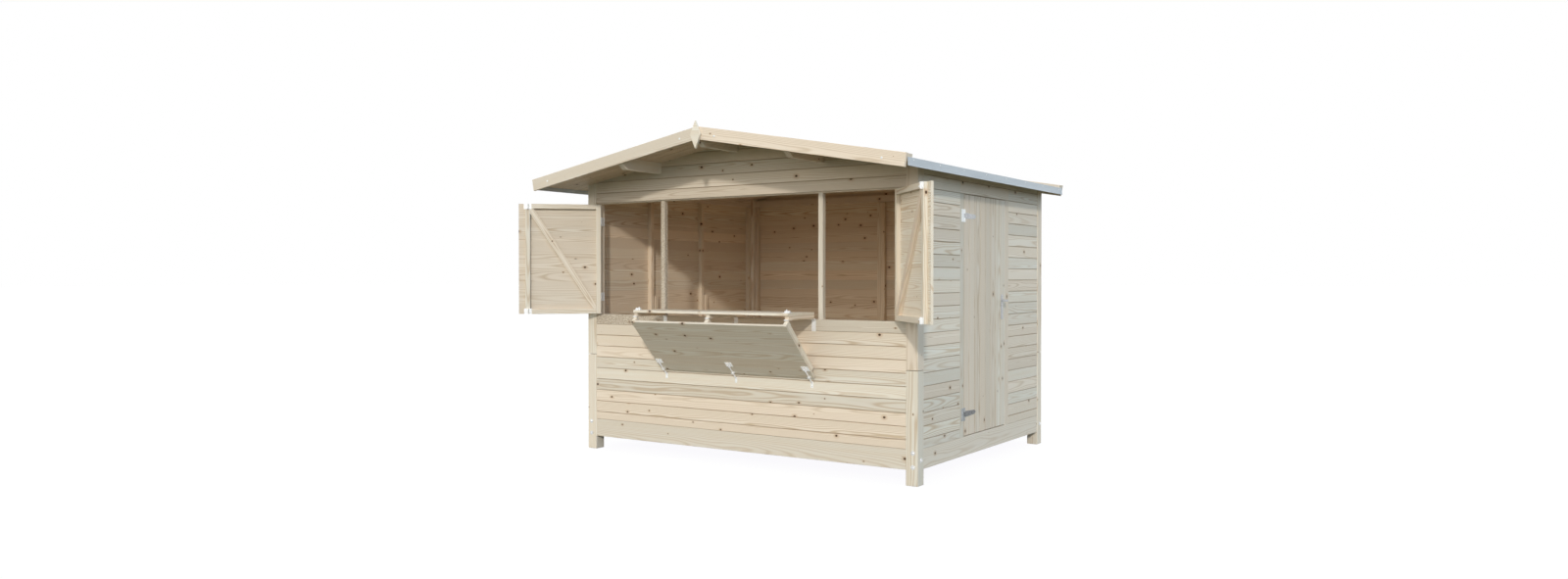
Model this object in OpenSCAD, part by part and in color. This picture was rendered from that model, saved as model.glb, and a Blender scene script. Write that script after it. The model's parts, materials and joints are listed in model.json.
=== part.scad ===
// Wooden market stall: closed timber hut with a side door, two hinged shutters
// and a counter that folds down from the middle of the serving opening.
// Millimetres, +Z up, the serving front faces -Y.

/* [Body] */
// Width over the corner posts
body_w = 3000; // [2800:10:3400]
// Depth over the corner posts
body_d = 2295; // [2100:5:2600]
// Side of a square corner post
post = 90; // [84:1:100]
// Height of the joint between the two lengths of each post
post_join = 772; // [650:1:900]

/* [Walls] */
// Underside of the base rails above the ground
rail_z = 105; // [80:1:130]
// Height of a base rail
rail_h = 138; // [120:1:150]
// Thickness of a base rail
rail_t = 45; // [38:1:50]
// Thickness of the wall boarding
wall_t = 20; // [16:1:22]
// Wall face set back from the post face
face_step = 4; // [2:0.5:6]
// Top of the serving sill
sill_z = 1098; // [1050:1:1130]
// Height of the sill rail
sill_h = 80; // [60:1:100]
// Depth of the sill rail
sill_d = 58; // [50:1:75]
// Lower edge of the boarding over the serving opening
head_z = 2000; // [1980:1:2020]
// Head rail below that edge
head_drop = 10; // [5:1:14]
// Height of the head rail
head_h = 80; // [60:1:100]
// Height of the wall plates
plate_h = 60; // [45:1:75]
// Thickness of the head rail and of the wall plates
plate_t = 38; // [34:1:45]
// Width of a front jamb
jamb_w = 34; // [30:1:40]
// Depth of a front jamb
jamb_d = 38; // [34:1:45]
// Side of a square mullion
mullion = 38; // [30:1:42]
// Distance of a mullion's middle from the stall's middle
mullion_x = 724; // [650:1:800]
// Side of a square wall stud
stud = 38; // [30:1:42]
// Middle of the first side wall stud behind the front post face
stud_first = 731; // [650:1:800]
// Spacing of the side wall studs
stud_pitch = 706; // [600:1:750]
// Gap between a side wall stud and the short stud beside it
stud_gap = 18; // [10:1:30]
// Top of the short studs
stud_short = 1235; // [1150:1:1300]
// Studs below the wall plates
stud_down = 8; // [4:1:12]

/* [Floor] */
// Thickness of the floor boards
floor_t = 22; // [18:1:28]
// Height of a floor joist
joist_h = 95; // [70:1:115]
// Width of a floor joist
joist_w = 45; // [38:1:60]
// Number of floor joists
joist_n = 5; // [3:1:7]

/* [Roof] */
// Roof slope in degrees
pitch = 10; // [8:0.5:12]
// Top of the roof covering at the eaves
eave_z = 2142; // [2130:1:2180]
// Eaves beyond the post faces
eave_over = 154; // [120:1:200]
// Roof beyond the front post faces
front_over = 464; // [420:1:560]
// Roof beyond the rear post faces
rear_over = 84; // [70:1:160]
// Thickness of the roof boards
deck_t = 20; // [16:1:24]
// Thickness of the roof covering
cover_t = 3; // [2:0.5:5]
// Height of a barge board
barge_h = 90; // [80:1:110]
// Thickness of a barge board
barge_t = 20; // [16:1:24]
// Barge board above the roof covering
barge_up = 26; // [20:1:32]
// Width of the batten behind a barge board
batten_w = 60; // [45:1:75]
// Height of that batten
batten_h = 23; // [16:1:25]
// Width of a purlin
purlin_w = 45; // [38:1:60]
// Height of a purlin
purlin_h = 75; // [60:1:80]
// Distance of a purlin's middle from the ridge
purlin_x = 742; // [650:1:800]
// Height of the ridge beam
ridge_h = 85; // [70:1:100]
// Length of the slanting cut under a roof beam's end
splay_run = 55; // [40:1:60]
// Height of that cut
splay_rise = 38; // [30:1:42]
// Height of the metal eaves trim
trim_h = 51; // [45:1:60]
// Thickness of the metal eaves trim
trim_t = 3; // [2:0.5:4]
// Width of the gable diamond
diamond_w = 92; // [80:1:110]
// Gable diamond above and below its middle
diamond_h = 100; // [85:1:110]
// Gable diamond's middle below the middle of the barge boards
diamond_drop = 15; // [0:1:25]
// Thickness of the gable diamond
diamond_t = 20; // [18:1:24]

/* [Shutters] */
// Room between a leaf that moves and the piece it passes
leaf_gap = 5; // [5:0.5:7]
// Thickness of a shutter's boarding
shutter_t = 18; // [16:1:20]
// Thickness of the battens on a shutter's inner face
shutter_batten_t = 30; // [25:1:32]
// Width of a shutter's battens
shutter_batten = 38; // [32:1:45]
// Width of a shutter's diagonal brace
shutter_brace = 44; // [36:1:52]
// Boarding past the battens at a shutter's free edge
shutter_lap = 52; // [48:1:60]
// Shutter's free edge past the mullion's inner face
shutter_meet = 3; // [1:0.5:6]
// Angle that the shutters stand open
shutter_open = 135; // [120:0.5:150]
// Gap between a shutter's hinge edge and the jamb
hinge_gap = 21; // [20:0.5:24]
// Shutter hinge pin past the shutter's edge
pin_out = 5.5; // [5.25:0.25:6]
// Shutter hinge's fixed plate cranked this far behind its pin
crank = 11; // [10.5:0.5:12]
// Gap between a shutter's top or bottom edge and the opening
shutter_air = 5.5; // [5:0.5:8]

/* [Counter] */
// Gap between the counter's end and a mullion
counter_air = 8; // [6:0.5:12]
// Depth of the counter's boarding
counter_l = 335; // [300:1:340]
// Thickness of the counter's boarding
counter_t = 18; // [16:1:22]
// Height of a cleat under the counter
cleat_h = 30; // [25:1:34]
// Width of a cleat
cleat_w = 32; // [28:1:45]
// Length of the support leaf's boarding
support_l = 522; // [490:1:524]
// Angle that the support leaf is folded under the counter
fold_open = 133.5; // [130:0.5:136]
// End of a support cleat short of the leaf's free edge
cleat_short = 60; // [50:1:80]
// Gap between the counter and the support leaf at the fold
fold_gap = 8; // [7:0.5:9]
// Fold pin behind the counter's front edge
fold_in = 3; // [2:0.5:4]
// Counter hinge's barrel clear of the front wall
flap_clear = 6; // [5:0.5:8]
// Counter hinge's pin above the sill
flap_up = 2; // [1.5:0.25:3]

/* [Door] */
// Front edge of the door frame behind the front post face
door_y = 672; // [620:1:720]
// Width of a door jamb
door_jamb = 70; // [60:1:80]
// Depth of a door jamb
door_jamb_d = 60; // [50:1:70]
// Width between the door jambs
door_w = 765; // [700:1:800]
// Top of the door opening
door_top = 1998; // [1950:1:2005]
// Gap under the door
door_foot = 7; // [5:0.5:10]
// Thickness of the door's boards
door_t = 20; // [18:1:24]
// Height of a ledge on the door's inner face
ledge_h = 90; // [80:1:110]
// Thickness of a ledge
ledge_t = 22; // [18:1:26]
// End of a ledge short of the door's edge
ledge_short = 12; // [8:1:20]
// Middle of the lower ledge above the floor frame
ledge_low = 156; // [130:1:200]
// Middle of the upper ledge below the door's top
ledge_high = 153; // [130:1:200]

/* [Ironwork] */
// Radius of a hinge barrel
barrel_r = 5; // [4.5:0.25:5.25]
// Radius of a hinge pin
pin_r = 2.5; // [2:0.25:3]
// Clearance round a hinge pin and between barrels
pin_fit = 0.4; // [0.3:0.05:0.6]
// Thickness of a hinge plate
plate = 2; // [1.5:0.25:2.5]
// Length of a butt hinge
butt_l = 68; // [60:1:90]
// Reach of a butt hinge plate from its pin
butt_w = 26; // [22:1:28]
// Reach of a shutter hinge's fixed plate from its pin
jamb_plate = 48; // [40:1:50]
// Distance of a shutter hinge's middle from the shutter's top or bottom
butt_in = 136; // [100:1:180]
// Width of a counter hinge along its pin
flap_l = 34; // [30:1:45]
// Reach of a counter hinge plate from its pin
flap_w = 86; // [60:1:95]
// Reach of a fold hinge plate from its pin
fold_w = 46; // [36:1:60]
// Height of a door hinge's fixed plate
tee_l = 92; // [80:1:110]
// Reach of that plate from its pin
tee_w = 50; // [40:1:55]
// Length of a door hinge's strap
strap_l = 195; // [160:1:260]
// Height of a door hinge's strap
strap_h = 45; // [38:1:50]
// Length of the strap's pointed end
strap_tip = 20; // [14:1:30]
// Length of a barrel bolt's plate
bolt_l = 44; // [40:1:55]
// Width of a barrel bolt's plate
bolt_w = 60; // [50:1:62]
// Radius of a barrel bolt's rod
rod_r = 5; // [4:0.5:6]
// Wall of a barrel bolt's barrel
barrel_wall = 2.5; // [2:0.25:3]
// Support bolts' plates short of the leaf's free edge
bolt_back = 78; // [60:1:95]
// Support bolts' rods beyond the leaf's free edge
rod_out = 4; // [2:0.5:5]
// Knob above a bolt's rod
knob_h = 10; // [8:0.5:12]
// Length of a support bolt's guide along its rod
guide_l = 14; // [10:1:18]
// Guide short of the leaf's free edge
guide_in = 10; // [8:1:14]
// Guide past the barrel's side
guide_side = 4; // [3:0.5:6]
// Gap between a support bolt's rod and its keeper
keeper_gap = 4; // [3:0.5:6]
// Height of a keeper's plate
keeper_h = 44; // [36:1:50]
// Top of a keeper's plate below its mouth
keeper_down = 18; // [14:1:24]
// Height of the door handle's plate
handle_l = 195; // [170:1:220]
// Width of the door handle's plate
handle_w = 36; // [30:1:42]
// Door handle's middle from the door's free edge
handle_in = 62; // [50:1:75]
// Door handle's middle below the door's top
handle_down = 825; // [760:1:900]
// Length of the handle's lever
lever_l = 105; // [90:1:120]
// Radius of the lever
lever_r = 9; // [8:0.5:10]
// Lever's distance from the door
lever_out = 45; // [40:1:55]

/* [Hidden] */
$fn = 40;

half_w = body_w / 2;
in_x = half_w - post;
face_x = half_w - face_step;
back_x = face_x - wall_t;
face_y = face_step;
back_y = face_step + wall_t;
rear_face = body_d - face_step;
rear_back = rear_face - wall_t;
rail_top = rail_z + rail_h;
roof_half = half_w + eave_over;
deck_half = roof_half - trim_t;
roof_front = -front_over;
roof_rear = body_d + rear_over;
deck_front = roof_front + barge_t;
deck_rear = roof_rear - barge_t;
head_low = head_z - head_drop;
// Front and rear reach of the whole stall, for its middle
y_mid = (roof_rear + diamond_t + roof_front - diamond_t) / 2;

// Clearance under the sloping roof boards and round the purlins
seat = 0.1;
notch = 0.4;

// Shutter hinge pin and leaf
reveal_x = in_x - jamb_w;
leaf_edge = reveal_x - hinge_gap;
pin_x = leaf_edge + pin_out;
leaf_in_y = back_y - leaf_gap;
leaf_out_y = leaf_in_y - shutter_t;
pin_y = leaf_out_y + shutter_t / 2;
leaf_free = mullion_x - mullion / 2 + shutter_meet;
leaf_bot = sill_z + shutter_air;
leaf_top = head_low - shutter_air;
bolt_x = leaf_free + shutter_lap + shutter_batten / 2;

// Counter hinge pin and fold pin
counter_half = mullion_x - mullion / 2 - counter_air;
flap_y = face_y - barrel_r - flap_clear;
flap_z = sill_z + flap_up;
cleat_z = flap_z + plate;
counter_back = flap_y - 2 * barrel_r;
counter_front = counter_back - counter_l;
fold_y = counter_front + fold_in;
fold_z = cleat_z;
cleat_xs = [-counter_half + cleat_w / 2, 0, counter_half - cleat_w / 2];

// Door leaf
door_hinge_y = door_y + door_jamb;
door_low = rail_top + door_foot;
door_high = door_top - leaf_gap;
door_edge = door_hinge_y + leaf_gap;
door_free = door_hinge_y + door_w - leaf_gap;
door_pin_x = face_x + barrel_r;
door_pin_y = door_hinge_y + leaf_gap / 2;
strap_zs = [door_low + ledge_low, door_high - ledge_high];
handle_z = door_high - handle_down;

// Top of the roof covering and underside of the roof boards across the stall
function cover_top(x) = eave_z + (roof_half - abs(x)) * tan(pitch);
function deck_low(x) = cover_top(x) - cover_t - deck_t;
function under_deck(x) = deck_low(x) - seat;
function barge_top(x) = cover_top(x) + barge_up;
// Underside of the roof beam at x
function beam_low(x) = x == 0 ? under_deck(purlin_w / 2) - ridge_h : deck_low(x) - purlin_h;

module placed() {
    translate([0, -y_mid, 0]) children();
}

module both_sides() {
    children();
    mirror([1, 0, 0]) children();
}

module block(x0, x1, y0, y1, z0, z1) {
    translate([x0, y0, z0]) cube([x1 - x0, y1 - y0, z1 - z0]);
}

// Outline in the plane of a gable, from y0 back to y1
module gable_slice(outline, y0, y1) {
    translate([0, y1, 0]) rotate([90, 0, 0]) linear_extrude(y1 - y0) polygon(outline);
}

// Strip that follows one roof slope between two heights over the roof boards' underside
module slope_strip(x0, x1, low, high, y0, y1) {
    gable_slice([[x0, deck_low(x0) + low], [x1, deck_low(x1) + low],
        [x1, deck_low(x1) + high], [x0, deck_low(x0) + high]], y0, y1);
}

// Ridge beam and two purlins, made larger by grow for the notches that hold them
module purlin_solids(y0, y1, grow) {
    w = purlin_w / 2 + grow;
    both_sides() slope_strip(purlin_x - w, purlin_x + w, -purlin_h - grow, grow - seat, y0, y1);
    gable_slice([[-w, under_deck(w) - ridge_h - grow], [w, under_deck(w) - ridge_h - grow],
        [w, under_deck(w) + grow], [0, under_deck(0) + grow], [-w, under_deck(w) + grow]], y0, y1);
}

module post_feet(z0, z1) {
    for (x = [-half_w, in_x], y = [0, body_d - post])
        block(x, x + post, y, y + post, z0, z1);
}

module lower_posts() {
    color("Wheat") placed() post_feet(0, post_join);
}

module upper_posts() {
    color("Wheat") placed() both_sides() for (y = [0, body_d - post])
        gable_slice([[in_x, post_join], [half_w, post_join],
            [half_w, under_deck(half_w)], [in_x, under_deck(in_x)]], y, y + post);
}

module base_rails() {
    color("BurlyWood") placed() {
        block(-in_x, in_x, face_y, face_y + rail_t, rail_z, rail_top);
        block(-in_x, in_x, rear_face - rail_t, rear_face, rail_z, rail_top);
        both_sides() block(face_x - rail_t, face_x, post, body_d - post, rail_z, rail_top);
    }
}

module floor_joists() {
    span = 2 * (in_x - joist_w);
    color("Tan") placed() for (i = [0 : joist_n - 1]) {
        x = -span / 2 + span * i / (joist_n - 1);
        block(x - joist_w / 2, x + joist_w / 2, face_y + rail_t, rear_face - rail_t,
            rail_top - joist_h, rail_top);
    }
}

module floor_boards() {
    color("Wheat") placed() difference() {
        block(-face_x + door_jamb_d, face_x - door_jamb_d, back_y, rear_back,
            rail_top, rail_top + floor_t);
        post_feet(rail_z, rail_top + 2 * floor_t);
    }
}

module front_wall() {
    color("Cornsilk") placed() block(-in_x, in_x, face_y, back_y, rail_top, sill_z - sill_h);
}

module serving_sill() {
    color("Wheat") placed() block(-in_x, in_x, face_y, face_y + sill_d, sill_z - sill_h, sill_z);
}

module front_jambs() {
    color("Wheat") placed() both_sides()
        block(reveal_x, in_x, back_y, back_y + jamb_d, sill_z, head_low);
}

module mullions() {
    color("Wheat") placed() both_sides()
        block(mullion_x - mullion / 2, mullion_x + mullion / 2, back_y, back_y + mullion,
            sill_z, head_low);
}

module front_gable() {
    color("Cornsilk") placed() difference() {
        gable_slice([[-in_x, head_z], [in_x, head_z], [in_x, under_deck(in_x)],
            [0, under_deck(0)], [-in_x, under_deck(in_x)]], face_y, back_y);
        purlin_solids(-post, post, notch);
    }
}

module wall_plates() {
    low = deck_low(back_x) - plate_h;
    color("Wheat") placed() {
        block(-in_x, in_x, back_y, back_y + plate_t, head_low, head_low + head_h);
        block(-in_x, in_x, rear_back - plate_t, rear_back, low, low + plate_h);
        both_sides() slope_strip(back_x - plate_t, back_x, -plate_h, -seat, post, body_d - post);
    }
}

module side_boarding(y0, y1, z0) {
    gable_slice([[back_x, z0], [face_x, z0], [face_x, under_deck(face_x)],
        [back_x, under_deck(back_x)]], y0, y1);
}

module left_wall() {
    color("Cornsilk") placed() mirror([1, 0, 0]) side_boarding(post, body_d - post, rail_top);
}

module rear_wall() {
    color("Cornsilk") placed() difference() {
        gable_slice([[-in_x, rail_top], [in_x, rail_top], [in_x, under_deck(in_x)],
            [0, under_deck(0)], [-in_x, under_deck(in_x)]], rear_back, rear_face);
        purlin_solids(rear_back - post, rear_face + post, notch);
    }
}

module side_wall_front() {
    color("Cornsilk") placed() side_boarding(post, door_y, rail_top);
}

module side_wall_rear() {
    color("Cornsilk") placed()
        side_boarding(door_hinge_y + door_w + door_jamb, body_d - post, rail_top);
}

module side_wall_over_door() {
    color("Cornsilk") placed()
        side_boarding(door_y, door_hinge_y + door_w + door_jamb, door_top);
}

module door_frame() {
    far_y = door_hinge_y + door_w;
    head_top = deck_low(back_x) - plate_h - stud_down;
    color("Wheat") placed() {
        for (y = [door_y, far_y]) {
            block(face_x - door_jamb_d, face_x, y, y + door_jamb, rail_top, door_top);
            block(face_x - door_jamb_d, back_x, y, y + door_jamb, rail_top, head_top);
        }
        block(face_x - door_jamb_d, back_x, door_y, far_y + door_jamb, door_top, head_top);
    }
}

// Upright on the inner face of a side wall, its front at y
module side_stud(y, top) {
    block(back_x - stud, back_x, y, y + stud, rail_top, top);
}

module wall_studs() {
    stud_top = deck_low(back_x) - plate_h - stud_down;
    floor_top = rail_top + floor_t;
    color("Wheat") placed() {
        mirror([1, 0, 0]) for (i = [0, 1]) {
            y = stud_first + i * stud_pitch - stud / 2;
            side_stud(y, stud_top);
            side_stud(y + stud + stud_gap, stud_short);
        }
        both_sides() {
            for (y = [post, body_d - post - stud])
                side_stud(y, stud_top);
            block(in_x - stud, in_x, rear_back - stud, rear_back, floor_top, stud_top);
            block(in_x - stud, in_x, back_y, back_y + stud, floor_top, sill_z - sill_h);
        }
        block(-stud, stud, rear_back - stud, rear_back, floor_top, stud_top);
    }
}

// Wood sawn off below the end of the roof beam at x, the end at y = 0
module end_splay(x) {
    translate([x - purlin_w, 0, beam_low(x)]) rotate([90, 0, 90]) linear_extrude(2 * purlin_w)
        polygon([[-splay_run, -splay_rise], [2 * splay_run, -splay_rise], [-splay_run, 2 * splay_rise]]);
}

module roof_beams() {
    color("BurlyWood") placed() difference() {
        purlin_solids(deck_front, deck_rear, 0);
        for (x = [-purlin_x, 0, purlin_x]) {
            translate([0, deck_front, 0]) end_splay(x);
            translate([0, deck_rear, 0]) mirror([0, 1, 0]) end_splay(x);
        }
    }
}

module roof_half_deck() {
    slope_strip(0, deck_half, 0, deck_t, deck_front, deck_rear);
}

module roof_deck_left() {
    color("Wheat") placed() mirror([1, 0, 0]) roof_half_deck();
}

module roof_deck_right() {
    color("Wheat") placed() roof_half_deck();
}

// Band that runs over the ridge from eaves to eaves
module ridge_band(low, high, y0, y1) {
    gable_slice([[-deck_half, cover_top(deck_half) + low], [0, cover_top(0) + low],
        [deck_half, cover_top(deck_half) + low], [deck_half, cover_top(deck_half) + high],
        [0, cover_top(0) + high], [-deck_half, cover_top(deck_half) + high]], y0, y1);
}

module roof_covering() {
    color("SlateGray") placed() ridge_band(seat - cover_t, 0, deck_front, deck_rear);
}

module eaves_trims() {
    color("LightSteelBlue") placed() both_sides()
        block(deck_half, roof_half, deck_front, deck_rear, cover_top(deck_half) - trim_h,
            cover_top(deck_half));
}

// One sloping barge board with a square end at the eaves and a plumb cut at the ridge
module barge_board(y0) {
    seam = 0.5;
    gable_slice([[seam, barge_top(seam) - barge_h / cos(pitch)],
        [roof_half - barge_h * sin(pitch), barge_top(roof_half) - barge_h * cos(pitch)],
        [roof_half, barge_top(roof_half)], [seam, barge_top(seam)]], y0, y0 + barge_t);
}

module front_barge_boards() {
    color("Wheat") placed() both_sides() barge_board(roof_front);
}

module rear_barge_boards() {
    color("Wheat") placed() both_sides() barge_board(deck_rear);
}

module roof_battens() {
    color("BurlyWood") placed() {
        ridge_band(seat, batten_h, deck_front, deck_front + batten_w);
        ridge_band(seat, batten_h, deck_rear - batten_w, deck_rear);
    }
}

module gable_diamonds() {
    mid = barge_top(0) - barge_h / cos(pitch) / 2 - diamond_drop;
    color("Wheat") placed() for (y = [roof_front - diamond_t, roof_rear])
        gable_slice([[0, mid - diamond_h], [diamond_w / 2, mid], [0, mid + diamond_h],
            [-diamond_w / 2, mid]], y, y + diamond_t);
}

// Hinge plate with its barrels along +Z, the plate towards +X and its back at y = back;
// a web, step away from the pin, crosses from the barrels to the plate
module hinge_plate(barrels, reach, back, length, bored, step = 0) {
    web = step > 0 ? plate : barrel_r + plate / 2;
    low = min(back, -plate / 2);
    high = max(back + plate, plate / 2);
    start = step + web - plate / 2;
    difference() {
        union() {
            for (b = barrels) translate([0, 0, b[0]]) {
                cylinder(h = b[1] - b[0], r = barrel_r);
                translate([0, -plate / 2, 0]) cube([step + web, plate, b[1] - b[0]]);
                translate([step, low, 0]) cube([web, high - low, b[1] - b[0]]);
            }
            translate([start, back, 0]) cube([reach - start, plate, length]);
        }
        if (bored) translate([0, 0, -1]) cylinder(h = length + 2, r = pin_r + pin_fit);
    }
    if (!bored) cylinder(h = length, r = pin_r);
}

function outer_barrels(l) = [[0, l / 3 - pin_fit], [2 * l / 3 + pin_fit, l]];
function middle_barrel(l) = [[l / 3, 2 * l / 3]];
butt_zs = [leaf_bot + butt_in - butt_l / 2, leaf_top - butt_in - butt_l / 2];

module fixed_hinge_plates() {
    color("Silver") placed() {
        both_sides() for (z = butt_zs) translate([pin_x, pin_y, z]) rotate([0, 0, 90])
            hinge_plate(outer_barrels(butt_l), jamb_plate, pin_out - hinge_gap, butt_l, false, crank);
        for (x = cleat_xs) translate([x - flap_l / 2, flap_y, flap_z]) rotate([0, 90, 0])
            hinge_plate(outer_barrels(flap_l), flap_w, face_y - plate - flap_y, flap_l, false);
        for (z = strap_zs) translate([door_pin_x, door_pin_y, z - tee_l / 2]) rotate([0, 0, -90])
            hinge_plate(outer_barrels(tee_l), tee_w, -barrel_r, tee_l, false);
    }
}

// Barrel bolt on a face at z = 0: plate, barrel and knob ending set_back short of the edge
// at y = 0, and a rod through a guide at the edge up to y = tip
rod_z = plate + rod_r + barrel_wall;

module barrel_bolt(set_back, tip) {
    far = set_back + bolt_l;
    wide = rod_r + barrel_wall;
    translate([-bolt_w / 2, -far, 0]) cube([bolt_w, bolt_l, plate]);
    translate([-wide, -far, 0]) cube([2 * wide, bolt_l, rod_z]);
    translate([0, -set_back, rod_z]) rotate([90, 0, 0]) cylinder(h = bolt_l, r = wide);
    translate([0, tip, rod_z]) rotate([90, 0, 0]) cylinder(h = tip + far - plate, r = rod_r);
    translate([0, -far + bolt_l / 3, rod_z]) cylinder(h = rod_r + knob_h, r = rod_r - 1);
    if (set_back > 0) translate([-wide - guide_side, -guide_in - guide_l, 0])
        cube([2 * (wide + guide_side), guide_l, rod_z + wide]);
}

// Right shutter as it stands closed
module shutter_board_solid() {
    block(leaf_free, leaf_edge, leaf_out_y, leaf_in_y, leaf_bot, leaf_top);
}

// Battens and brace, drawn from the free edge at x = 0
module shutter_frame_outline() {
    w = leaf_edge - leaf_free;
    h = leaf_top - leaf_bot;
    bay_w = w - shutter_lap - 2 * shutter_batten;
    bay_h = h - 2 * shutter_batten;
    difference() {
        translate([shutter_lap, 0]) square([w - shutter_lap, h]);
        translate([shutter_lap + shutter_batten, shutter_batten]) square([bay_w, bay_h]);
    }
    intersection() {
        translate([shutter_lap, 0]) square([w - shutter_lap, h]);
        translate([shutter_lap + shutter_batten, h - shutter_batten]) rotate(-atan2(bay_h, bay_w))
            translate([-shutter_batten, -shutter_brace / 2])
                square([norm([bay_w, bay_h]) + 2 * shutter_batten, shutter_brace]);
    }
}

module shutter_frame_solid() {
    translate([leaf_free, leaf_in_y + shutter_batten_t, leaf_bot]) rotate([90, 0, 0])
        linear_extrude(shutter_batten_t) shutter_frame_outline();
}

module shutter_iron_solid() {
    face = leaf_in_y + shutter_batten_t;
    for (z = butt_zs) translate([pin_x, pin_y, z]) rotate([0, 0, 90]) mirror([0, 1, 0])
        hinge_plate(middle_barrel(butt_l), butt_w, -pin_out, butt_l, true);
    translate([bolt_x, face, leaf_top]) rotate([90, 0, 0]) mirror([0, 0, 1]) barrel_bolt(0, 0);
    translate([bolt_x, face, leaf_bot]) rotate([-90, 0, 0]) barrel_bolt(0, 0);
}

module shutter_opened() {
    translate([pin_x, pin_y, 0]) rotate([0, 0, shutter_open]) translate([-pin_x, -pin_y, 0]) children();
}

module left_shutter_boards() {
    color("Cornsilk") placed() mirror([1, 0, 0]) shutter_opened() shutter_board_solid();
}

module left_shutter_frame() {
    color("Wheat") placed() mirror([1, 0, 0]) shutter_opened() shutter_frame_solid();
}

module left_shutter_ironwork() {
    color("Silver") placed() mirror([1, 0, 0]) shutter_opened() shutter_iron_solid();
}

module right_shutter_boards() {
    color("Cornsilk") placed() shutter_opened() shutter_board_solid();
}

module right_shutter_frame() {
    color("Wheat") placed() shutter_opened() shutter_frame_solid();
}

module right_shutter_ironwork() {
    color("Silver") placed() shutter_opened() shutter_iron_solid();
}

module counter_boards() {
    color("Wheat") placed() block(-counter_half, counter_half, counter_front, counter_back,
        cleat_z + cleat_h, cleat_z + cleat_h + counter_t);
}

module counter_cleats() {
    color("BurlyWood") placed() for (x = cleat_xs)
        block(x - cleat_w / 2, x + cleat_w / 2, fold_y + 2 * barrel_r, counter_back,
            cleat_z, cleat_z + cleat_h);
}

module counter_ironwork() {
    top = cleat_z + cleat_h + counter_t;
    color("Silver") placed() {
        for (x = cleat_xs) {
            translate([x - flap_l / 2, flap_y, flap_z]) rotate([90, 0, 0]) rotate([0, 90, 0])
                mirror([1, 0, 0]) hinge_plate(middle_barrel(flap_l), flap_w, 0, flap_l, true);
            translate([x - flap_l / 2, fold_y, fold_z]) rotate([90, 0, 0]) rotate([0, 90, 0])
                hinge_plate(outer_barrels(flap_l), fold_w, -plate, flap_l, false);
        }
        both_sides() translate([counter_half - 2, counter_front + bolt_w / 2 + 4, top])
            rotate([0, 0, -90]) barrel_bolt(0, 0);
    }
}

module support_placed() {
    translate([0, fold_y, fold_z]) rotate([fold_open, 0, 0]) translate([0, -fold_y, -fold_z]) children();
}

support_near = counter_front - fold_gap;
support_far = support_near - support_l;
support_bolt_xs = [-counter_half + bolt_w / 2, 0, counter_half - bolt_w / 2];

module support_boards() {
    color("Wheat") placed() support_placed() block(-counter_half, counter_half, support_far, support_near,
        cleat_z + cleat_h, cleat_z + cleat_h + counter_t);
}

module support_cleats() {
    color("BurlyWood") placed() support_placed() for (x = cleat_xs)
        block(x - cleat_w / 2, x + cleat_w / 2, support_far + cleat_short, fold_y - 2 * barrel_r,
            cleat_z, cleat_z + cleat_h);
}

module support_ironwork() {
    top = cleat_z + cleat_h + counter_t;
    color("Silver") placed() support_placed() {
        for (x = cleat_xs) {
            translate([x - flap_l / 2, fold_y, fold_z]) rotate([90, 0, 0]) rotate([0, 90, 0])
                mirror([1, 0, 0]) hinge_plate(middle_barrel(flap_l), fold_w, -plate, flap_l, true);
        }
        for (x = support_bolt_xs)
            translate([x, support_far, top]) rotate([0, 0, 180]) barrel_bolt(bolt_back, rod_out);
    }
}

// Sleeves on the front wall in line with the support bolts' rods
module bolt_keepers() {
    rise = cleat_z + cleat_h + counter_t + rod_z;
    run = fold_y - support_far;
    mouth_z = fold_z - run * sin(fold_open) + (rise - fold_z) * cos(fold_open);
    color("Silver") placed() for (x = support_bolt_xs) {
        difference() {
            support_placed() translate([x, support_far - rod_out - keeper_gap, rise]) rotate([90, 0, 0])
                cylinder(h = 4 * bolt_l, r = rod_r + barrel_wall / 2);
            block(x - bolt_w, x + bolt_w, face_y - plate / 2, body_d, 0, sill_z);
        }
        translate([x - 2 * rod_r, face_y - plate, mouth_z - keeper_down - keeper_h])
            cube([4 * rod_r, plate, keeper_h]);
    }
}

module door_boards() {
    color("Wheat") placed() block(face_x - door_t, face_x, door_edge, door_free, door_low, door_high);
}

module door_ledges() {
    inner = face_x - door_t;
    color("BurlyWood") placed() for (z = strap_zs)
        block(inner - ledge_t, inner, door_edge + ledge_short, door_free - ledge_short,
            z - ledge_h / 2, z + ledge_h / 2);
}

module door_straps() {
    color("Silver") placed() for (z = strap_zs) translate([door_pin_x, door_pin_y, z - tee_l / 2])
        rotate([0, 0, 90]) mirror([0, 1, 0]) {
            hinge_plate(middle_barrel(tee_l), 2 * barrel_r + plate, -barrel_r, tee_l, true);
            translate([barrel_r + plate, -barrel_r + plate, tee_l / 2]) rotate([90, 0, 0])
                linear_extrude(plate) polygon([[0, -strap_h / 2], [strap_l - strap_tip, -strap_h / 3],
                    [strap_l, 0], [strap_l - strap_tip, strap_h / 3], [0, strap_h / 2]]);
        }
}

module door_handle() {
    color("Silver") placed() translate([face_x, door_free - handle_in, handle_z]) {
        translate([0, -handle_w / 2, -handle_l / 2]) cube([plate, handle_w, handle_l]);
        translate([0, 0, handle_l / 4]) {
            rotate([0, 90, 0]) cylinder(h = lever_out + lever_r, r = lever_r);
            translate([lever_out, 0, 0]) rotate([90, 0, 0]) cylinder(h = lever_l, r = lever_r - 1);
        }
    }
}

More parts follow.
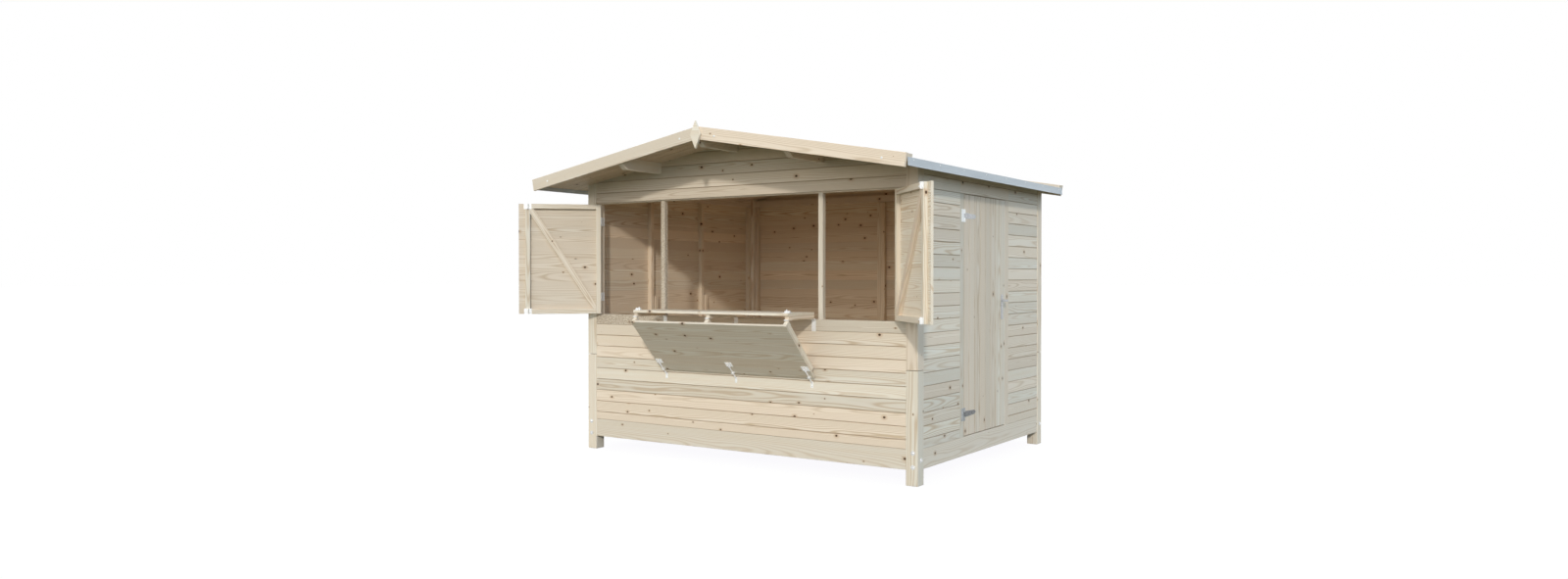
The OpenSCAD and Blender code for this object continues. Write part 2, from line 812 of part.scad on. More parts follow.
lower_posts();
upper_posts();
base_rails();
floor_joists();
floor_boards();
front_wall();
serving_sill();
front_jambs();
mullions();
front_gable();
wall_plates();
left_wall();
rear_wall();
side_wall_front();
side_wall_rear();
side_wall_over_door();
door_frame();
wall_studs();
roof_beams();
roof_deck_left();
roof_deck_right();
roof_covering();
eaves_trims();
front_barge_boards();
rear_barge_boards();
roof_battens();
gable_diamonds();
fixed_hinge_plates();
bolt_keepers();
left_shutter_boards();
left_shutter_frame();
left_shutter_ironwork();
right_shutter_boards();
right_shutter_frame();
right_shutter_ironwork();
counter_boards();
counter_cleats();
counter_ironwork();
support_boards();
support_cleats();
support_ironwork();
door_boards();
door_ledges();
door_straps();
door_handle();
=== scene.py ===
"""Looks of the wooden market stall: boarding, timbers, ironwork, roof covering, light and camera."""

import json
import math
import random

import bpy
import numpy as np
from mathutils import Matrix, Vector


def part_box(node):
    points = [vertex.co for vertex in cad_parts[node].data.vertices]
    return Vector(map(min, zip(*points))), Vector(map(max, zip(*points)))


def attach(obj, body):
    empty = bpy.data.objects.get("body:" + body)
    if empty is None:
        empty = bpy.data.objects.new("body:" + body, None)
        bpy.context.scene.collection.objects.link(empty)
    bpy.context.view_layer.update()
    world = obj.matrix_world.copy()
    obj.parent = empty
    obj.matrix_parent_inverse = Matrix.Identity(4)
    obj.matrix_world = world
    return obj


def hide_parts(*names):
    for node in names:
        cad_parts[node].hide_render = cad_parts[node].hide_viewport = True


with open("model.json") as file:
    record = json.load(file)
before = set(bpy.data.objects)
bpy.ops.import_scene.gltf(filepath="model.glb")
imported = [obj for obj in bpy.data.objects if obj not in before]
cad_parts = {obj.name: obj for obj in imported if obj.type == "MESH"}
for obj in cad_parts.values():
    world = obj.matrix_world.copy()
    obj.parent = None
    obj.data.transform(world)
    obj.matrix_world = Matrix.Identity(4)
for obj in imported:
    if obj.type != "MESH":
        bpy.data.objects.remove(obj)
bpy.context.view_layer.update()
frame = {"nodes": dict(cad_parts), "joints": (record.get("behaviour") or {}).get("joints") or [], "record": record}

# Sizes of the stall's timber, in metres
POST = 0.090
RAIL = 0.045
JOISTS = 5
BATTEN = 0.038
JAMB = 0.034
DOOR_JAMB = 0.070
LEDGE = 0.090
COURSE = 0.0891
NARROW_COURSE = 0.062
DECK = 0.020
DECK_BOARD = 0.096
BARGE = 0.090
BARGE_THICK = 0.020

# Edges and joints of the boards
BOARD_V = 0.0030
BOARD_GAP = 0.0018
DOOR_GAP = 0.0042
TONGUE = 0.007
GROOVE = TONGUE * 1.15
TRIM = 0.010
SOFT_EDGE = 0.0025
POST_EDGE = 0.004
POST_GAP = 0.002
HOUSED = 0.004
SPARE = 0.02

# Hinged leaves, as they stand closed
LEAF_FREE = 0.708
LEAF_LAP = 0.052
HALF_LEAF = 0.009
LEAF_FRAME = 0.030
PIN_OUT = 0.0055
BRACE = 0.044
CLEAT = 0.032
FOLD_GAP = 0.008
SUPPORT = 0.522
SHUTTER_OPEN = math.radians(135)
FOLD_OPEN = math.radians(133.5)

# Small ironwork: the plates' thickness and the heads' radii
PLATE = 0.002
SCREW = 0.004
SMALL_SCREW = 0.0035
EAVES_SCREW = 0.0042
FELT_NAIL = 0.0055
BARGE_NAIL = 0.0075
COACH_BOLT = 0.0105
SMOOTH_ANGLE = math.radians(40)

# Directions: the serving front faces the other way from BACK
RIGHT = Vector((1, 0, 0))
BACK = Vector((0, 1, 0))
UP = Vector((0, 0, 1))

BOX = {name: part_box(name) for name in frame["nodes"]}
JOINT = {joint["name"]: joint for joint in frame["joints"]}
FRONT = BOX["lower_posts"][0].y
REAR = BOX["lower_posts"][1].y
SIDE = BOX["lower_posts"][1].x
rng = random.Random(23)

# Colours that all the wood shares
KNOT_HALO = (0.52, 0.33, 0.17, 1)
KNOT_CORE = (0.070, 0.036, 0.018, 1)
JOINT_BROWN = (0.400, 0.260, 0.150, 1)
# Painted indoor shade: a darker, warmer tint multiplied into inner faces, studs and the roof's underside
INDOOR_SHADE_TINT = (0.98, 0.925, 0.855, 1)
TORN_DARK = (0.34, 0.24, 0.15, 1)
TORN_PALE = (0.86, 0.80, 0.70, 1)

# Light of the photo
FLOOR_TONE = (0.066, 0.076, 0.038, 1)
FLOOR_GLOW = (0.954, 0.945, 0.974, 1)
WHITE = (1, 1, 1, 1)
SKY_COOL = (0.66, 0.815, 0.985, 1)
SKY_WARM = (1.14, 1.06, 0.93, 1)
SKY_TOP = (0.38, 0.44, 0.50, 1)
WARM_SIDE = (-0.55, -0.835, 0)
SKY_STRENGTH = 1.6
SUN_STRENGTH = 1.38
SUN_COLOUR = (1.0, 0.955, 0.88)
SUN_WIDTH = math.radians(3)
SUN_AZIMUTH = math.radians(30)
SUN_HEIGHT = math.radians(22.5)

# Camera of the photo
CAMERA_PLACE = (4.7171, -7.3598, 1.3846)
CAMERA_TILT = math.radians(89.429)
CAMERA_TURN = math.radians(33.806)
CAMERA_LENS = 24.608
CAMERA_SENSOR = 36.0


# Shader groups and materials

def feed(socket, value):
    """Links an output to a socket, or sets the socket's own value."""
    if isinstance(value, bpy.types.NodeSocket):
        socket.id_data.links.new(value, socket)
    else:
        socket.default_value = value


def fill(node, inputs):
    """Feeds a node's inputs, which are given by name or by number."""
    for key, value in inputs.items():
        feed(node.inputs[key], value)


def add_node(tree, kind, inputs=None, **settings):
    node = tree.nodes.new("ShaderNode" + kind)
    for key, value in settings.items():
        setattr(node, key, value)
    fill(node, inputs or {})
    return node


def sums(operation, first, second=0.5):
    """A sum of two values; MULTIPLY_ADD also adds the node's own 0.5."""
    return add_node(first.id_data, "Math", {0: first, 1: second}, operation=operation).outputs[0]


def times(first, second):
    return sums("MULTIPLY", first, second)


def vectors(operation, *inputs):
    return add_node(inputs[0].id_data, "VectorMath", dict(enumerate(inputs)), operation=operation).outputs


def scaled(vector, factors):
    return vectors("MULTIPLY", vector, factors)[0]


def axes_of(vector):
    return add_node(vector.id_data, "SeparateXYZ", {0: vector}).outputs


def red_of(colour):
    return add_node(colour.id_data, "SeparateColor", {0: colour}).outputs[0]


def noise(vector, detail=2.0, roughness=0.5, scale=1.0):
    inputs = {"Vector": vector, "Scale": scale, "Detail": detail, "Roughness": roughness}
    return add_node(vector.id_data, "TexNoise", inputs).outputs


def stepped(value, low, high, out_low=0.0, out_high=1.0):
    """Smooth step of a value from low to high."""
    inputs = dict(enumerate((value, low, high, out_low, out_high)))
    return add_node(value.id_data, "MapRange", inputs, interpolation_type="SMOOTHSTEP").outputs[0]


def mixed(share, first, second, blend="MIX"):
    inputs = {0: share, 6: first, 7: second}
    return add_node(share.id_data, "Mix", inputs, data_type="RGBA", blend_type=blend).outputs[2]


def stained(board, mask, share, colour):
    """Mixes a stain into a board's colour where a mask shows it."""
    return mixed(times(mask, share), board, colour)


def object_place(tree):
    return add_node(tree, "TexCoord").outputs["Object"]


def read_attribute(tree, name):
    return add_node(tree, "Attribute", attribute_name=name, attribute_type="GEOMETRY").outputs["Vector"]


def new_group(name, inputs, masks):
    """An empty node group with its named inputs, which gives out masks."""
    tree = bpy.data.node_groups.new(name, "ShaderNodeTree")
    for socket_name, kind in inputs.items():
        tree.interface.new_socket(socket_name, in_out="INPUT", socket_type="NodeSocket" + kind)
    for socket_name in masks:
        tree.interface.new_socket(socket_name, in_out="OUTPUT", socket_type="NodeSocketFloat")
    return tree, tree.nodes.new("NodeGroupInput").outputs, tree.nodes.new("NodeGroupOutput")


def knot_group():
    """Round knots spread over the boards: the dark core and the halo of bent grain round it."""
    stretch, rarity, largest = 0.72, 0.46, 0.0088
    tree, given, result = new_group("knots", {"Grain": "Vector", "Spacing": "Float"}, ("Core", "Halo"))
    axes = axes_of(given["Grain"])
    face = add_node(tree, "CombineXYZ", {0: times(axes[0], stretch), 1: sums("ADD", axes[1], axes[2])})
    inputs = {"Vector": face.outputs[0], "Scale": given["Spacing"]}
    cells = add_node(tree, "TexVoronoi", inputs, voronoi_dimensions="2D").outputs
    reach = sums("DIVIDE", cells["Distance"], given["Spacing"])
    radius = stepped(red_of(cells["Color"]), rarity, 1.0, 0.0, largest)
    edge = sums("DIVIDE", reach, sums("ADD", radius, 0.00001))
    fill(result, {"Core": stepped(edge, 1.05, 0.75), "Halo": stepped(edge, 3.2, 0.8)})
    return tree


def figure_group(knots):
    """Growth rings, streaks and fibres of sawn spruce, from each board's own grain coordinates."""
    ring_density, knot_swirl, ring_sharpness = 880.0, 2.5, 3.0
    tree, given, result = new_group("spruce_figure", {"Grain": "Vector", "Knot spacing": "Float"},
                                    ("Rings", "Streaks", "Fibres", "Core", "Halo", "Height"))
    inputs = {"Grain": given["Grain"], "Spacing": given["Knot spacing"]}
    spots = add_node(tree, "Group", inputs, node_tree=knots).outputs
    sway = noise(scaled(given["Grain"], (1.3, 7.0, 7.0)))["Color"]
    centred = vectors("SUBTRACT", sway, (0.5, 0.5, 0.5))[0]
    grain = vectors("MULTIPLY_ADD", centred, (0.0, 0.035, 0.035), given["Grain"])[0]
    heart = vectors("LENGTH", scaled(grain, (0.0, 1.0, 1.0)))["Value"]
    years = sums("ADD", times(heart, ring_density), times(spots["Halo"], knot_swirl))
    wave = sums("MULTIPLY_ADD", sums("SINE", years), 0.5)
    rings = sums("POWER", wave, ring_sharpness)
    streaks = noise(scaled(grain, (0.8, 38.0, 38.0)), detail=4.0, roughness=0.6)[0]
    fibres = noise(scaled(grain, (14.0, 520.0, 520.0)), detail=3.0, roughness=0.65)[0]
    relief = sums("ADD", times(rings, 0.35), times(fibres, 0.9))
    fill(result, {"Rings": rings, "Streaks": stepped(streaks, 0.36, 0.66), "Fibres": fibres,
                  "Core": spots["Core"], "Halo": spots["Halo"],
                  "Height": sums("SUBTRACT", relief, spots["Core"])})
    return tree


def new_material(name):
    finish = bpy.data.materials.new(name)
    finish.use_nodes = True
    return finish, finish.node_tree, finish.node_tree.nodes["Principled BSDF"]


def bumped(surface, height, strength, distance):
    inputs = {"Strength": strength, "Distance": distance, "Height": height}
    feed(surface.inputs["Normal"], add_node(height.id_data, "Bump", inputs).outputs[0])


def torn_patch(tree, board, amount):
    """Rough flecks where the left end of a timber was badly sawn."""
    patch = stepped(axes_of(object_place(tree))[0], -0.66, -0.72, 0.0, amount)
    fleck_size = scaled(read_attribute(tree, "grain"), (95.0, 170.0, 170.0))
    flecks = noise(fleck_size, detail=3.0, roughness=0.7)[0]
    board = stained(board, patch, stepped(flecks, 0.44, 0.56), TORN_DARK)
    return stained(board, patch, stepped(flecks, 0.60, 0.66), TORN_PALE)


def spruce(name, figure, pale, straw, peach, latewood, knot_spacing, relief, roughness, torn=0.0):
    """Untreated softwood whose tint and brightness change from board to board."""
    darkest, lightest, ring_range, sheen = 0.915, 1.085, 0.55, 0.14
    finish, tree, surface = new_material(name)
    inputs = {"Grain": read_attribute(tree, "grain"), "Knot spacing": knot_spacing}
    look = add_node(tree, "Group", inputs, node_tree=figure).outputs
    warmth, level, ringed = axes_of(read_attribute(tree, "tone"))
    at_joint, painted_indoor_shade, _ = axes_of(read_attribute(tree, "edges"))
    board = mixed(look["Streaks"], pale, straw)
    board = mixed(warmth, board, peach)
    board = stained(board, look["Rings"], sums("MULTIPLY_ADD", ringed, ring_range), latewood)
    board = stained(board, look["Fibres"], 0.14, latewood)
    board = stained(board, look["Halo"], 0.50, KNOT_HALO)
    board = stained(board, look["Core"], 0.95, KNOT_CORE)
    board = stained(board, at_joint, 0.70, JOINT_BROWN)
    # Painted shade: back faces of boards and whole pieces inside or under the roof are darkened and warmed
    board = mixed(painted_indoor_shade, board, INDOOR_SHADE_TINT, "MULTIPLY")
    if torn:
        board = torn_patch(tree, board, torn)
    brightness = stepped(level, 0.0, 1.0, darkest, lightest)
    fill(surface, {"Base Color": scaled(board, brightness), "Specular IOR Level": 0.28,
                   "Roughness": stepped(look["Rings"], 0.0, 1.0, roughness, roughness - sheen)})
    bumped(surface, look["Height"], relief, 0.0012)
    return finish


def zinc_plate(name, dark, light, marked, metallic, low_darkening=0.0):
    """Zinc plating with faint crystals and handling marks, darker towards the bottom."""
    darkening_top, darkening_low, darkening_tone = 0.75, 0.60, (0.10, 0.105, 0.11, 1)
    finish, tree, surface = new_material(name)
    place = object_place(tree)
    crystals = add_node(tree, "TexVoronoi", {"Vector": place, "Scale": 160.0}, feature="F1").outputs
    marks = noise(place, detail=4.0, scale=70.0)[0]
    colour = mixed(red_of(crystals["Color"]), dark, light)
    # Darker towards the bottom: mixed towards a dark grey below a given height
    low_share = stepped(axes_of(place)[2], darkening_top, darkening_low, 0.0, low_darkening)
    colour = mixed(low_share, colour, darkening_tone)
    colour = mixed(stepped(marks, 0.52, 0.74, 0.0, 0.5), colour, marked)
    fill(surface, {"Base Color": colour, "Metallic": metallic,
                   "Roughness": stepped(marks, 0.3, 0.7, 0.26, 0.42)})
    bumped(surface, marks, 0.08, 0.0006)
    return finish


def coated_sheet():
    """Pale blue grey coating on the folded eaves strip, a little chalky."""
    finish, tree, surface = new_material("coated sheet")
    place = object_place(tree)
    chalk = noise(scaled(place, (6.0, 1.2, 14.0)), detail=4.0)[0]
    dust = noise(place, detail=3.0, scale=55.0)[0]
    colour = mixed(stepped(chalk, 0.35, 0.70), (0.54, 0.575, 0.605, 1), (0.60, 0.635, 0.660, 1))
    colour = mixed(stepped(dust, 0.55, 0.8, 0.0, 0.25), colour, (0.66, 0.66, 0.64, 1))
    fill(surface, {"Base Color": colour, "Metallic": 0.15, "Roughness": stepped(dust, 0.3, 0.7, 0.42, 0.55)})
    bumped(surface, dust, 0.05, 0.0008)
    return finish


def roofing_felt():
    """Mineral felt: dark grit with paler specks and worn patches."""
    finish, tree, surface = new_material("roofing felt")
    place = object_place(tree)
    grit = noise(place, roughness=0.7, scale=900.0)[0]
    wear = noise(place, detail=5.0, scale=3.5)[0]
    colour = mixed(stepped(grit, 0.40, 0.68), (0.035, 0.037, 0.040, 1), (0.16, 0.165, 0.17, 1))
    colour = mixed(stepped(wear, 0.45, 0.75, 0.0, 0.4), colour, (0.19, 0.19, 0.185, 1))
    fill(surface, {"Base Color": colour, "Roughness": 0.92})
    bumped(surface, grit, 0.5, 0.0015)
    return finish


figure = figure_group(knot_group())
PLANED = spruce("planed spruce", figure, (0.815, 0.775, 0.685, 1), (0.785, 0.720, 0.605, 1),
                (0.820, 0.705, 0.580, 1), (0.600, 0.470, 0.330, 1), 5.6, 0.16, 0.66)
SAWN = spruce("sawn spruce", figure, (0.785, 0.735, 0.635, 1), (0.730, 0.670, 0.565, 1),
              (0.775, 0.680, 0.560, 1), (0.560, 0.460, 0.350, 1), 4.6, 0.45, 0.80, 0.75)
ZINC = zinc_plate("bright zinc", (0.87, 0.87, 0.87, 1), (0.95, 0.95, 0.94, 1), (0.66, 0.65, 0.64, 1), 0.45)
DULL_ZINC = zinc_plate("dull zinc", (0.46, 0.47, 0.49, 1), (0.56, 0.57, 0.59, 1), (0.32, 0.32, 0.33, 1),
                       0.80, 0.85)
BOLT_ZINC = zinc_plate("bolt zinc", (0.70, 0.71, 0.72, 1), (0.82, 0.83, 0.83, 1), (0.32, 0.32, 0.33, 1),
                       0.80)
# Painted light: the hinge plates and their screws are made whiter and less metallic than bright zinc, to look lit
# where they lie in shade
PAINTED_LIGHT_HINGE_ZINC = zinc_plate("hinge zinc painted light", (0.92, 0.92, 0.92, 1), (0.97, 0.97, 0.96, 1), (0.70, 0.69, 0.68, 1),
                        0.15, 0.65)
COATED = coated_sheet()
FELT = roofing_felt()


# Modelling by hand: selection, cuts and board patterns

def object_mode():
    bpy.ops.object.mode_set(mode="OBJECT")


def edit_mode():
    bpy.ops.object.mode_set(mode="EDIT")


def select(*pieces):
    """Selects only these pieces, none if none are given, and makes the first one active."""
    bpy.ops.object.select_all(action="DESELECT")
    for piece in pieces:
        piece.select_set(True)
    if pieces:
        bpy.context.view_layer.objects.active = pieces[0]


def pick(piece, kind, test):
    """Goes to edit mode with only the faces or edges whose middle and direction pass the test selected."""
    object_mode()
    mesh = piece.data
    for items in (mesh.vertices, mesh.edges, mesh.polygons):
        items.foreach_set("select", [False] * len(items))
    if kind == "FACE":
        for face in mesh.polygons:
            face.select = test(face.center, face.normal)
    else:
        for edge in mesh.edges:
            first, second = (mesh.vertices[i].co for i in edge.vertices)
            edge.select = test((first + second) / 2, (second - first).normalized())
    edit_mode()
    bpy.ops.mesh.select_mode(type=kind)


def bevel(piece, test, offset, segments):
    """Chamfers or rounds the edges that pass a test."""
    pick(piece, "EDGE", test)
    bpy.ops.mesh.bevel(offset=offset, segments=segments)
    object_mode()


def extrude(step):
    """Draws the selected faces out by a step."""
    bpy.ops.mesh.extrude_region_move(TRANSFORM_OT_translate={"value": step})


def lengthwise(at, way):
    """Test for the long edges of a pattern."""
    return abs(way.x) > 0.9


def edit_all(piece):
    object_mode()
    select(piece)
    edit_mode()
    bpy.ops.mesh.select_all(action="SELECT")


def score(point, normal):
    """Cuts the open mesh all through at a plane and keeps both sides."""
    bpy.ops.mesh.select_all(action="SELECT")
    bpy.ops.mesh.bisect(plane_co=point, plane_no=normal)


def cut(piece, point, normal):
    """Saws a piece at a plane, takes away what lies on the normal's side and closes the ends."""
    edit_all(piece)
    bpy.ops.mesh.bisect(plane_co=point, plane_no=normal, use_fill=True, clear_outer=True)
    object_mode()


def block(name, size):
    """A block with one corner at the origin, ready to be shaped."""
    select()
    bpy.ops.mesh.primitive_cube_add(size=1)
    piece = bpy.context.object
    piece.name = name
    edit_mode()
    bpy.ops.transform.translate(value=(0.5, 0.5, 0.5))
    bpy.ops.transform.resize(value=size, center_override=(0, 0, 0))
    object_mode()
    return piece


def write_attribute(mesh, name, values):
    """Gives each vertex three values of its own."""
    attribute = mesh.attributes.new(name, "FLOAT_VECTOR", "POINT")
    attribute.data.foreach_set("vector", np.asarray(values, dtype=float).ravel())


def tongued_board(width, thick, gap=BOARD_GAP):
    """Board pattern one metre long: a tongue on its upper edge, a groove below, V edges on its face."""
    tongue_low, tongue_high, back_edge = 0.36, 0.64, 0.0009

    def on_tongue(at):
        return abs(at.z - thick / 2) < thick * 0.1

    piece = block("tongued_board", (1, width, thick))
    edit_all(piece)
    for share in (tongue_low, tongue_high):
        score((0, 0, thick * share), (0, 0, 1))
    pick(piece, "FACE", lambda at, way: way.y > 0.9 and on_tongue(at))
    extrude((0, TONGUE, 0))
    pick(piece, "FACE", lambda at, way: way.y < -0.9 and on_tongue(at))
    extrude((0, GROOVE, 0))
    for way_y in (-1, 1):
        pick(piece, "FACE", lambda at, way: way.y * way_y > 0.9 and at.z > thick * 0.7)
        bpy.ops.transform.translate(value=(0, -way_y * gap / 2, 0))
    bevel(piece, lambda at, way: lengthwise(at, way) and at.z > thick * 0.9, BOARD_V, 1)
    bevel(piece, lambda at, way: lengthwise(at, way) and at.z < thick * 0.1, back_edge, 1)
    heights = [point.co.z / thick for point in piece.data.vertices]
    # The first value marks the joint faces, the second the back face, which takes the painted indoor shade
    write_attribute(piece.data, "edges", [(0.2 < z < 0.97, z < 0.2, 0) for z in heights])
    return piece


def door_board(width, thick):
    """Tongued board with the open joint of the door."""
    return tongued_board(width, thick, DOOR_GAP)


def bevelled_block(name, size, offset, segments):
    piece = block(name, size)
    bevel(piece, lengthwise, offset, segments)
    return piece


def flush_board(width, thick):
    """Board pattern one metre long with tight plain edges, for the leaves."""
    return bevelled_block("flush_board", (1, width, thick), 0.0007, 1)


def eased_timber(width, thick):
    """Timber pattern one metre long with its four long edges eased."""
    return bevelled_block("eased_timber", (1, width, thick), SOFT_EDGE, 2)


def post_block(length):
    """One length of a corner post, eased along its edges."""
    return bevelled_block("post_block", (length, POST, POST), POST_EDGE, 2)


patterns = {}


def pattern(make, *sizes):
    key = (make.__name__,) + tuple(round(size, 5) for size in sizes)
    if key not in patterns:
        patterns[key] = make(*sizes)
    return patterns[key]


def copy_of(model):
    """A loose copy of a pattern with a mesh of its own."""
    piece = bpy.data.objects.new(model.name, model.data.copy())
    bpy.context.collection.objects.link(piece)
    return piece


def season(mesh, warmth=None, level=None):
    """Gives one timber its grain coordinates, its tint from cream to peach, and how light it is."""
    points = np.empty(len(mesh.vertices) * 3)
    mesh.vertices.foreach_get("co", points)
    points = points.reshape(-1, 3)
    heart = (rng.uniform(0, 80), rng.uniform(-0.07, 0.02), rng.choice((-1, 1)) * rng.uniform(0.01, 0.07))
    lean = points[:, :1] * (0, rng.uniform(-0.012, 0.012), rng.uniform(-0.022, 0.022))
    write_attribute(mesh, "grain", points + heart + lean)
    if warmth is None:
        warmth = rng.random() ** 1.3
    if level is None:
        level = rng.random()
    write_attribute(mesh, "tone", np.tile((warmth, level, rng.random()), len(points)))


def paint_indoor_shade(piece):
    """Marks all of a piece for the painted indoor shade, the darker, warmer tint that the inner faces of the walls
    take.
    """
    attributes = piece.data.attributes
    marks = attributes.get("edges") or attributes.new("edges", "FLOAT_VECTOR", "POINT")
    values = np.zeros(len(piece.data.vertices) * 3)
    marks.data.foreach_get("vector", values)
    values[1::3] = 1
    marks.data.foreach_set("vector", values)


def lay(model, start, along, face, length=1.0, warmth=None, level=None):
    """A copy of a board pattern drawn out to its length, with its own grain, at its place."""
    piece = copy_of(model)
    piece.data.transform(Matrix.Diagonal((length, 1, 1, 1)))
    season(piece.data, warmth, level)
    turn = Matrix((along, face.cross(along), face)).transposed().to_4x4()
    piece.data.transform(Matrix.Translation(start) @ turn)
    return piece


def join(name, parts):
    bpy.context.view_layer.update()
    select(*parts)
    if len(parts) > 1:
        bpy.ops.object.join()
    piece = bpy.context.view_layer.objects.active
    piece.name = name
    piece.data.name = name
    return piece


def fit(piece, finish, slot, body, *nodes):
    """Gives a finished piece its material, the body it rides on and the solids it stands for."""
    piece.data.materials.clear()
    piece.data.materials.append(finish)
    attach(piece, body)
    if nodes:
        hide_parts(*nodes)


def wood(piece, node, body="stall", finish=PLANED):
    fit(piece, finish, "spruce", body, node)


def timbers(name, parts, node, body="stall", finish=PLANED):
    """Joins timbers into the piece that stands for a node."""
    wood(join(name, parts), node, body, finish)


def fittings(name, parts, body, finish=ZINC):
    """Joins small ironwork that stands for no node."""
    fit(join(name, parts), finish, "zinc", body)


def corner(low, high, way):
    """The corner of a box that lies farthest back along a direction."""
    return Vector([high[i] if way[i] < 0 else low[i] for i in range(3)])


def timber(low, high, along, face, warmth=None):
    """One eased timber that fills a box, its grain along one axis and its best face towards another."""
    low, high = Vector(low), Vector(high)
    across = face.cross(along)
    length, width, thick = (abs((high - low).dot(axis)) for axis in (along, across, face))
    start = corner(low, high, along + across + face)
    return lay(pattern(eased_timber, width, thick), start, along, face, length, warmth)


def panel(name, low, high, along, face, count, make=flush_board, warm=(0.0, 0.8), light=(0.2, 0.8)):
    """Boards side by side that fill a box, sawn clean along its two long edges."""
    low, high = Vector(low), Vector(high)
    across = face.cross(along)
    length, whole, thick = (abs((high - low).dot(axis)) for axis in (along, across, face))
    width = (whole + 2 * TRIM) / count
    edge = corner(low, high, along + across + face)
    boards = [lay(pattern(make, width, thick), edge + across * (i * width - TRIM), along, face, length,
                  rng.uniform(*warm), rng.uniform(*light)) for i in range(count)]
    piece = join(name, boards)
    cut(piece, edge, -across)
    cut(piece, edge + across * whole, across)
    return piece


def courses(low, high, first=COURSE):
    """Lower edges and heights of the boards from low up to high."""
    edges = [low]
    step = first
    while edges[-1] + step < high - SPARE:
        edges.append(edges[-1] + step)
        step = COURSE
    heights = [upper - lower for lower, upper in zip(edges, edges[1:])] + [COURSE]
    return list(zip(edges, heights))


def boarding(low, high, face, first=COURSE, warm=None):
    """Horizontal tongued boards that fill a wall's box, seen from the side it faces."""
    along = UP.cross(face)
    thick = abs((high - low).dot(face))
    length = abs((high - low).dot(along))
    end = corner(low, high, along + face)
    return [lay(pattern(tongued_board, height, thick), Vector((end.x, end.y, edge)), along, face, length,
                rng.uniform(*warm) if warm else None) for edge, height in courses(low.z, high.z, first)]


# Roof planes, from the roof boards' box
deck_low, deck_high = BOX["roof_deck_right"]
SLOPE = math.atan((deck_high.z - deck_low.z - DECK) / deck_high.x)
ROOF_UNDER = Vector((0, 0, deck_high.z - DECK - 0.0002))


def roof_normal(side):
    return Vector((side * math.sin(SLOPE), 0, math.cos(SLOPE)))


def up_roof(side):
    """Direction from the eaves to the ridge."""
    return Vector((-side * math.cos(SLOPE), 0, math.sin(SLOPE)))


def cut_under_roof(piece):
    for side in (-1, 1):
        cut(piece, ROOF_UNDER, roof_normal(side))
    return piece


# Posts, floor and walls

def corner_posts():
    """Four posts, each in two lengths with a fine open joint between them."""
    low, high = BOX["lower_posts"]
    top = BOX["upper_posts"][1].z + SPARE
    lengths = []
    for x in (low.x, high.x - POST):
        for y in (low.y, high.y - POST):
            start = Vector((x + POST, y + POST, 0))
            lengths.append(lay(pattern(post_block, high.z - POST_GAP), start, UP, -BACK))
            start.z = high.z + POST_GAP
            lengths.append(lay(pattern(post_block, top - start.z), start, UP, -BACK))
    posts = cut_under_roof(join("corner_post_timbers", lengths))
    fit(posts, PLANED, "spruce", "stall", "lower_posts", "upper_posts")


def base_timbers():
    low, high = BOX["base_rails"]
    inner = high.x - POST + HOUSED
    near, far = low.y + POST - HOUSED, high.y - POST + HOUSED
    rails = [timber((-inner, low.y, low.z), (inner, low.y + RAIL, high.z), RIGHT, -BACK),
             timber((-inner, high.y - RAIL, low.z), (inner, high.y, high.z), -RIGHT, BACK),
             timber((high.x - RAIL, near, low.z), (high.x, far, high.z), BACK, RIGHT),
             timber((low.x, near, low.z), (low.x + RAIL, far, high.z), -BACK, -RIGHT)]
    timbers("base_rail_timbers", rails, "base_rails")


def floor_timbers():
    low, high = BOX["floor_joists"]
    step = (high.x - low.x - RAIL) / (JOISTS - 1)
    lefts = [low.x + i * step for i in range(JOISTS)]
    joists = [timber((x, low.y, low.z), (x + RAIL, high.y, high.z), BACK, UP) for x in lefts]
    timbers("floor_joist_timbers", joists, "floor_joists", finish=SAWN)
    low, high = BOX["floor_boards"]
    rows = round((high.y - low.y) / DECK_BOARD)
    width = (high.y - low.y) / rows
    inset = high.x - BOX["front_wall"][1].x
    boards = []
    for i in range(rows):
        short = inset if i in (0, rows - 1) else 0
        start = Vector((low.x + short, low.y + i * width, low.z))
        length = high.x - low.x - 2 * short
        boards.append(lay(pattern(tongued_board, width, high.z - low.z), start, RIGHT, UP, length))
    timbers("floor_boarding", boards, "floor_boards")


def walls():
    low, high = BOX["front_wall"]
    timbers("front_wall_boards", boarding(low, high, -BACK, NARROW_COURSE), "front_wall")
    for name, node, face in (("left_wall_boards", "left_wall", -RIGHT),
                             ("rear_wall_boards", "rear_wall", BACK),
                             ("side_wall_front_boards", "side_wall_front", RIGHT),
                             ("side_wall_rear_boards", "side_wall_rear", RIGHT),
                             ("over_door_boards", "side_wall_over_door", RIGHT)):
        low, high = BOX[node]
        boards = boarding(low, high, face, NARROW_COURSE if low.z < 1 else COURSE)
        wood(cut_under_roof(join(name, boards)), node)


def front_gable():
    low, high = BOX["front_gable"]
    head = BOX["mullions"][1].z + 0.010
    first_edge = Vector((low.x, low.y, head - 0.012))
    gable = join("front_gable_boards", boarding(first_edge, high, -BACK, warm=(0.1, 0.7)))
    cut(gable, (0, 0, head), -UP)
    wood(cut_under_roof(gable), "front_gable")


def opening_timbers():
    low, high = BOX["serving_sill"]
    timbers("sill_timber", [timber(low, high, RIGHT, -BACK)], "serving_sill", finish=SAWN)
    for name, node, width, finish in (("jamb_timbers", "front_jambs", JAMB, PLANED),
                                      ("mullion_timbers", "mullions", BATTEN, SAWN)):
        low, high = BOX[node]
        uprights = [timber((x, low.y, low.z), (x + width, high.y, high.z), UP, -BACK)
                    for x in (low.x, high.x - width)]
        timbers(name, uprights, node, finish=finish)


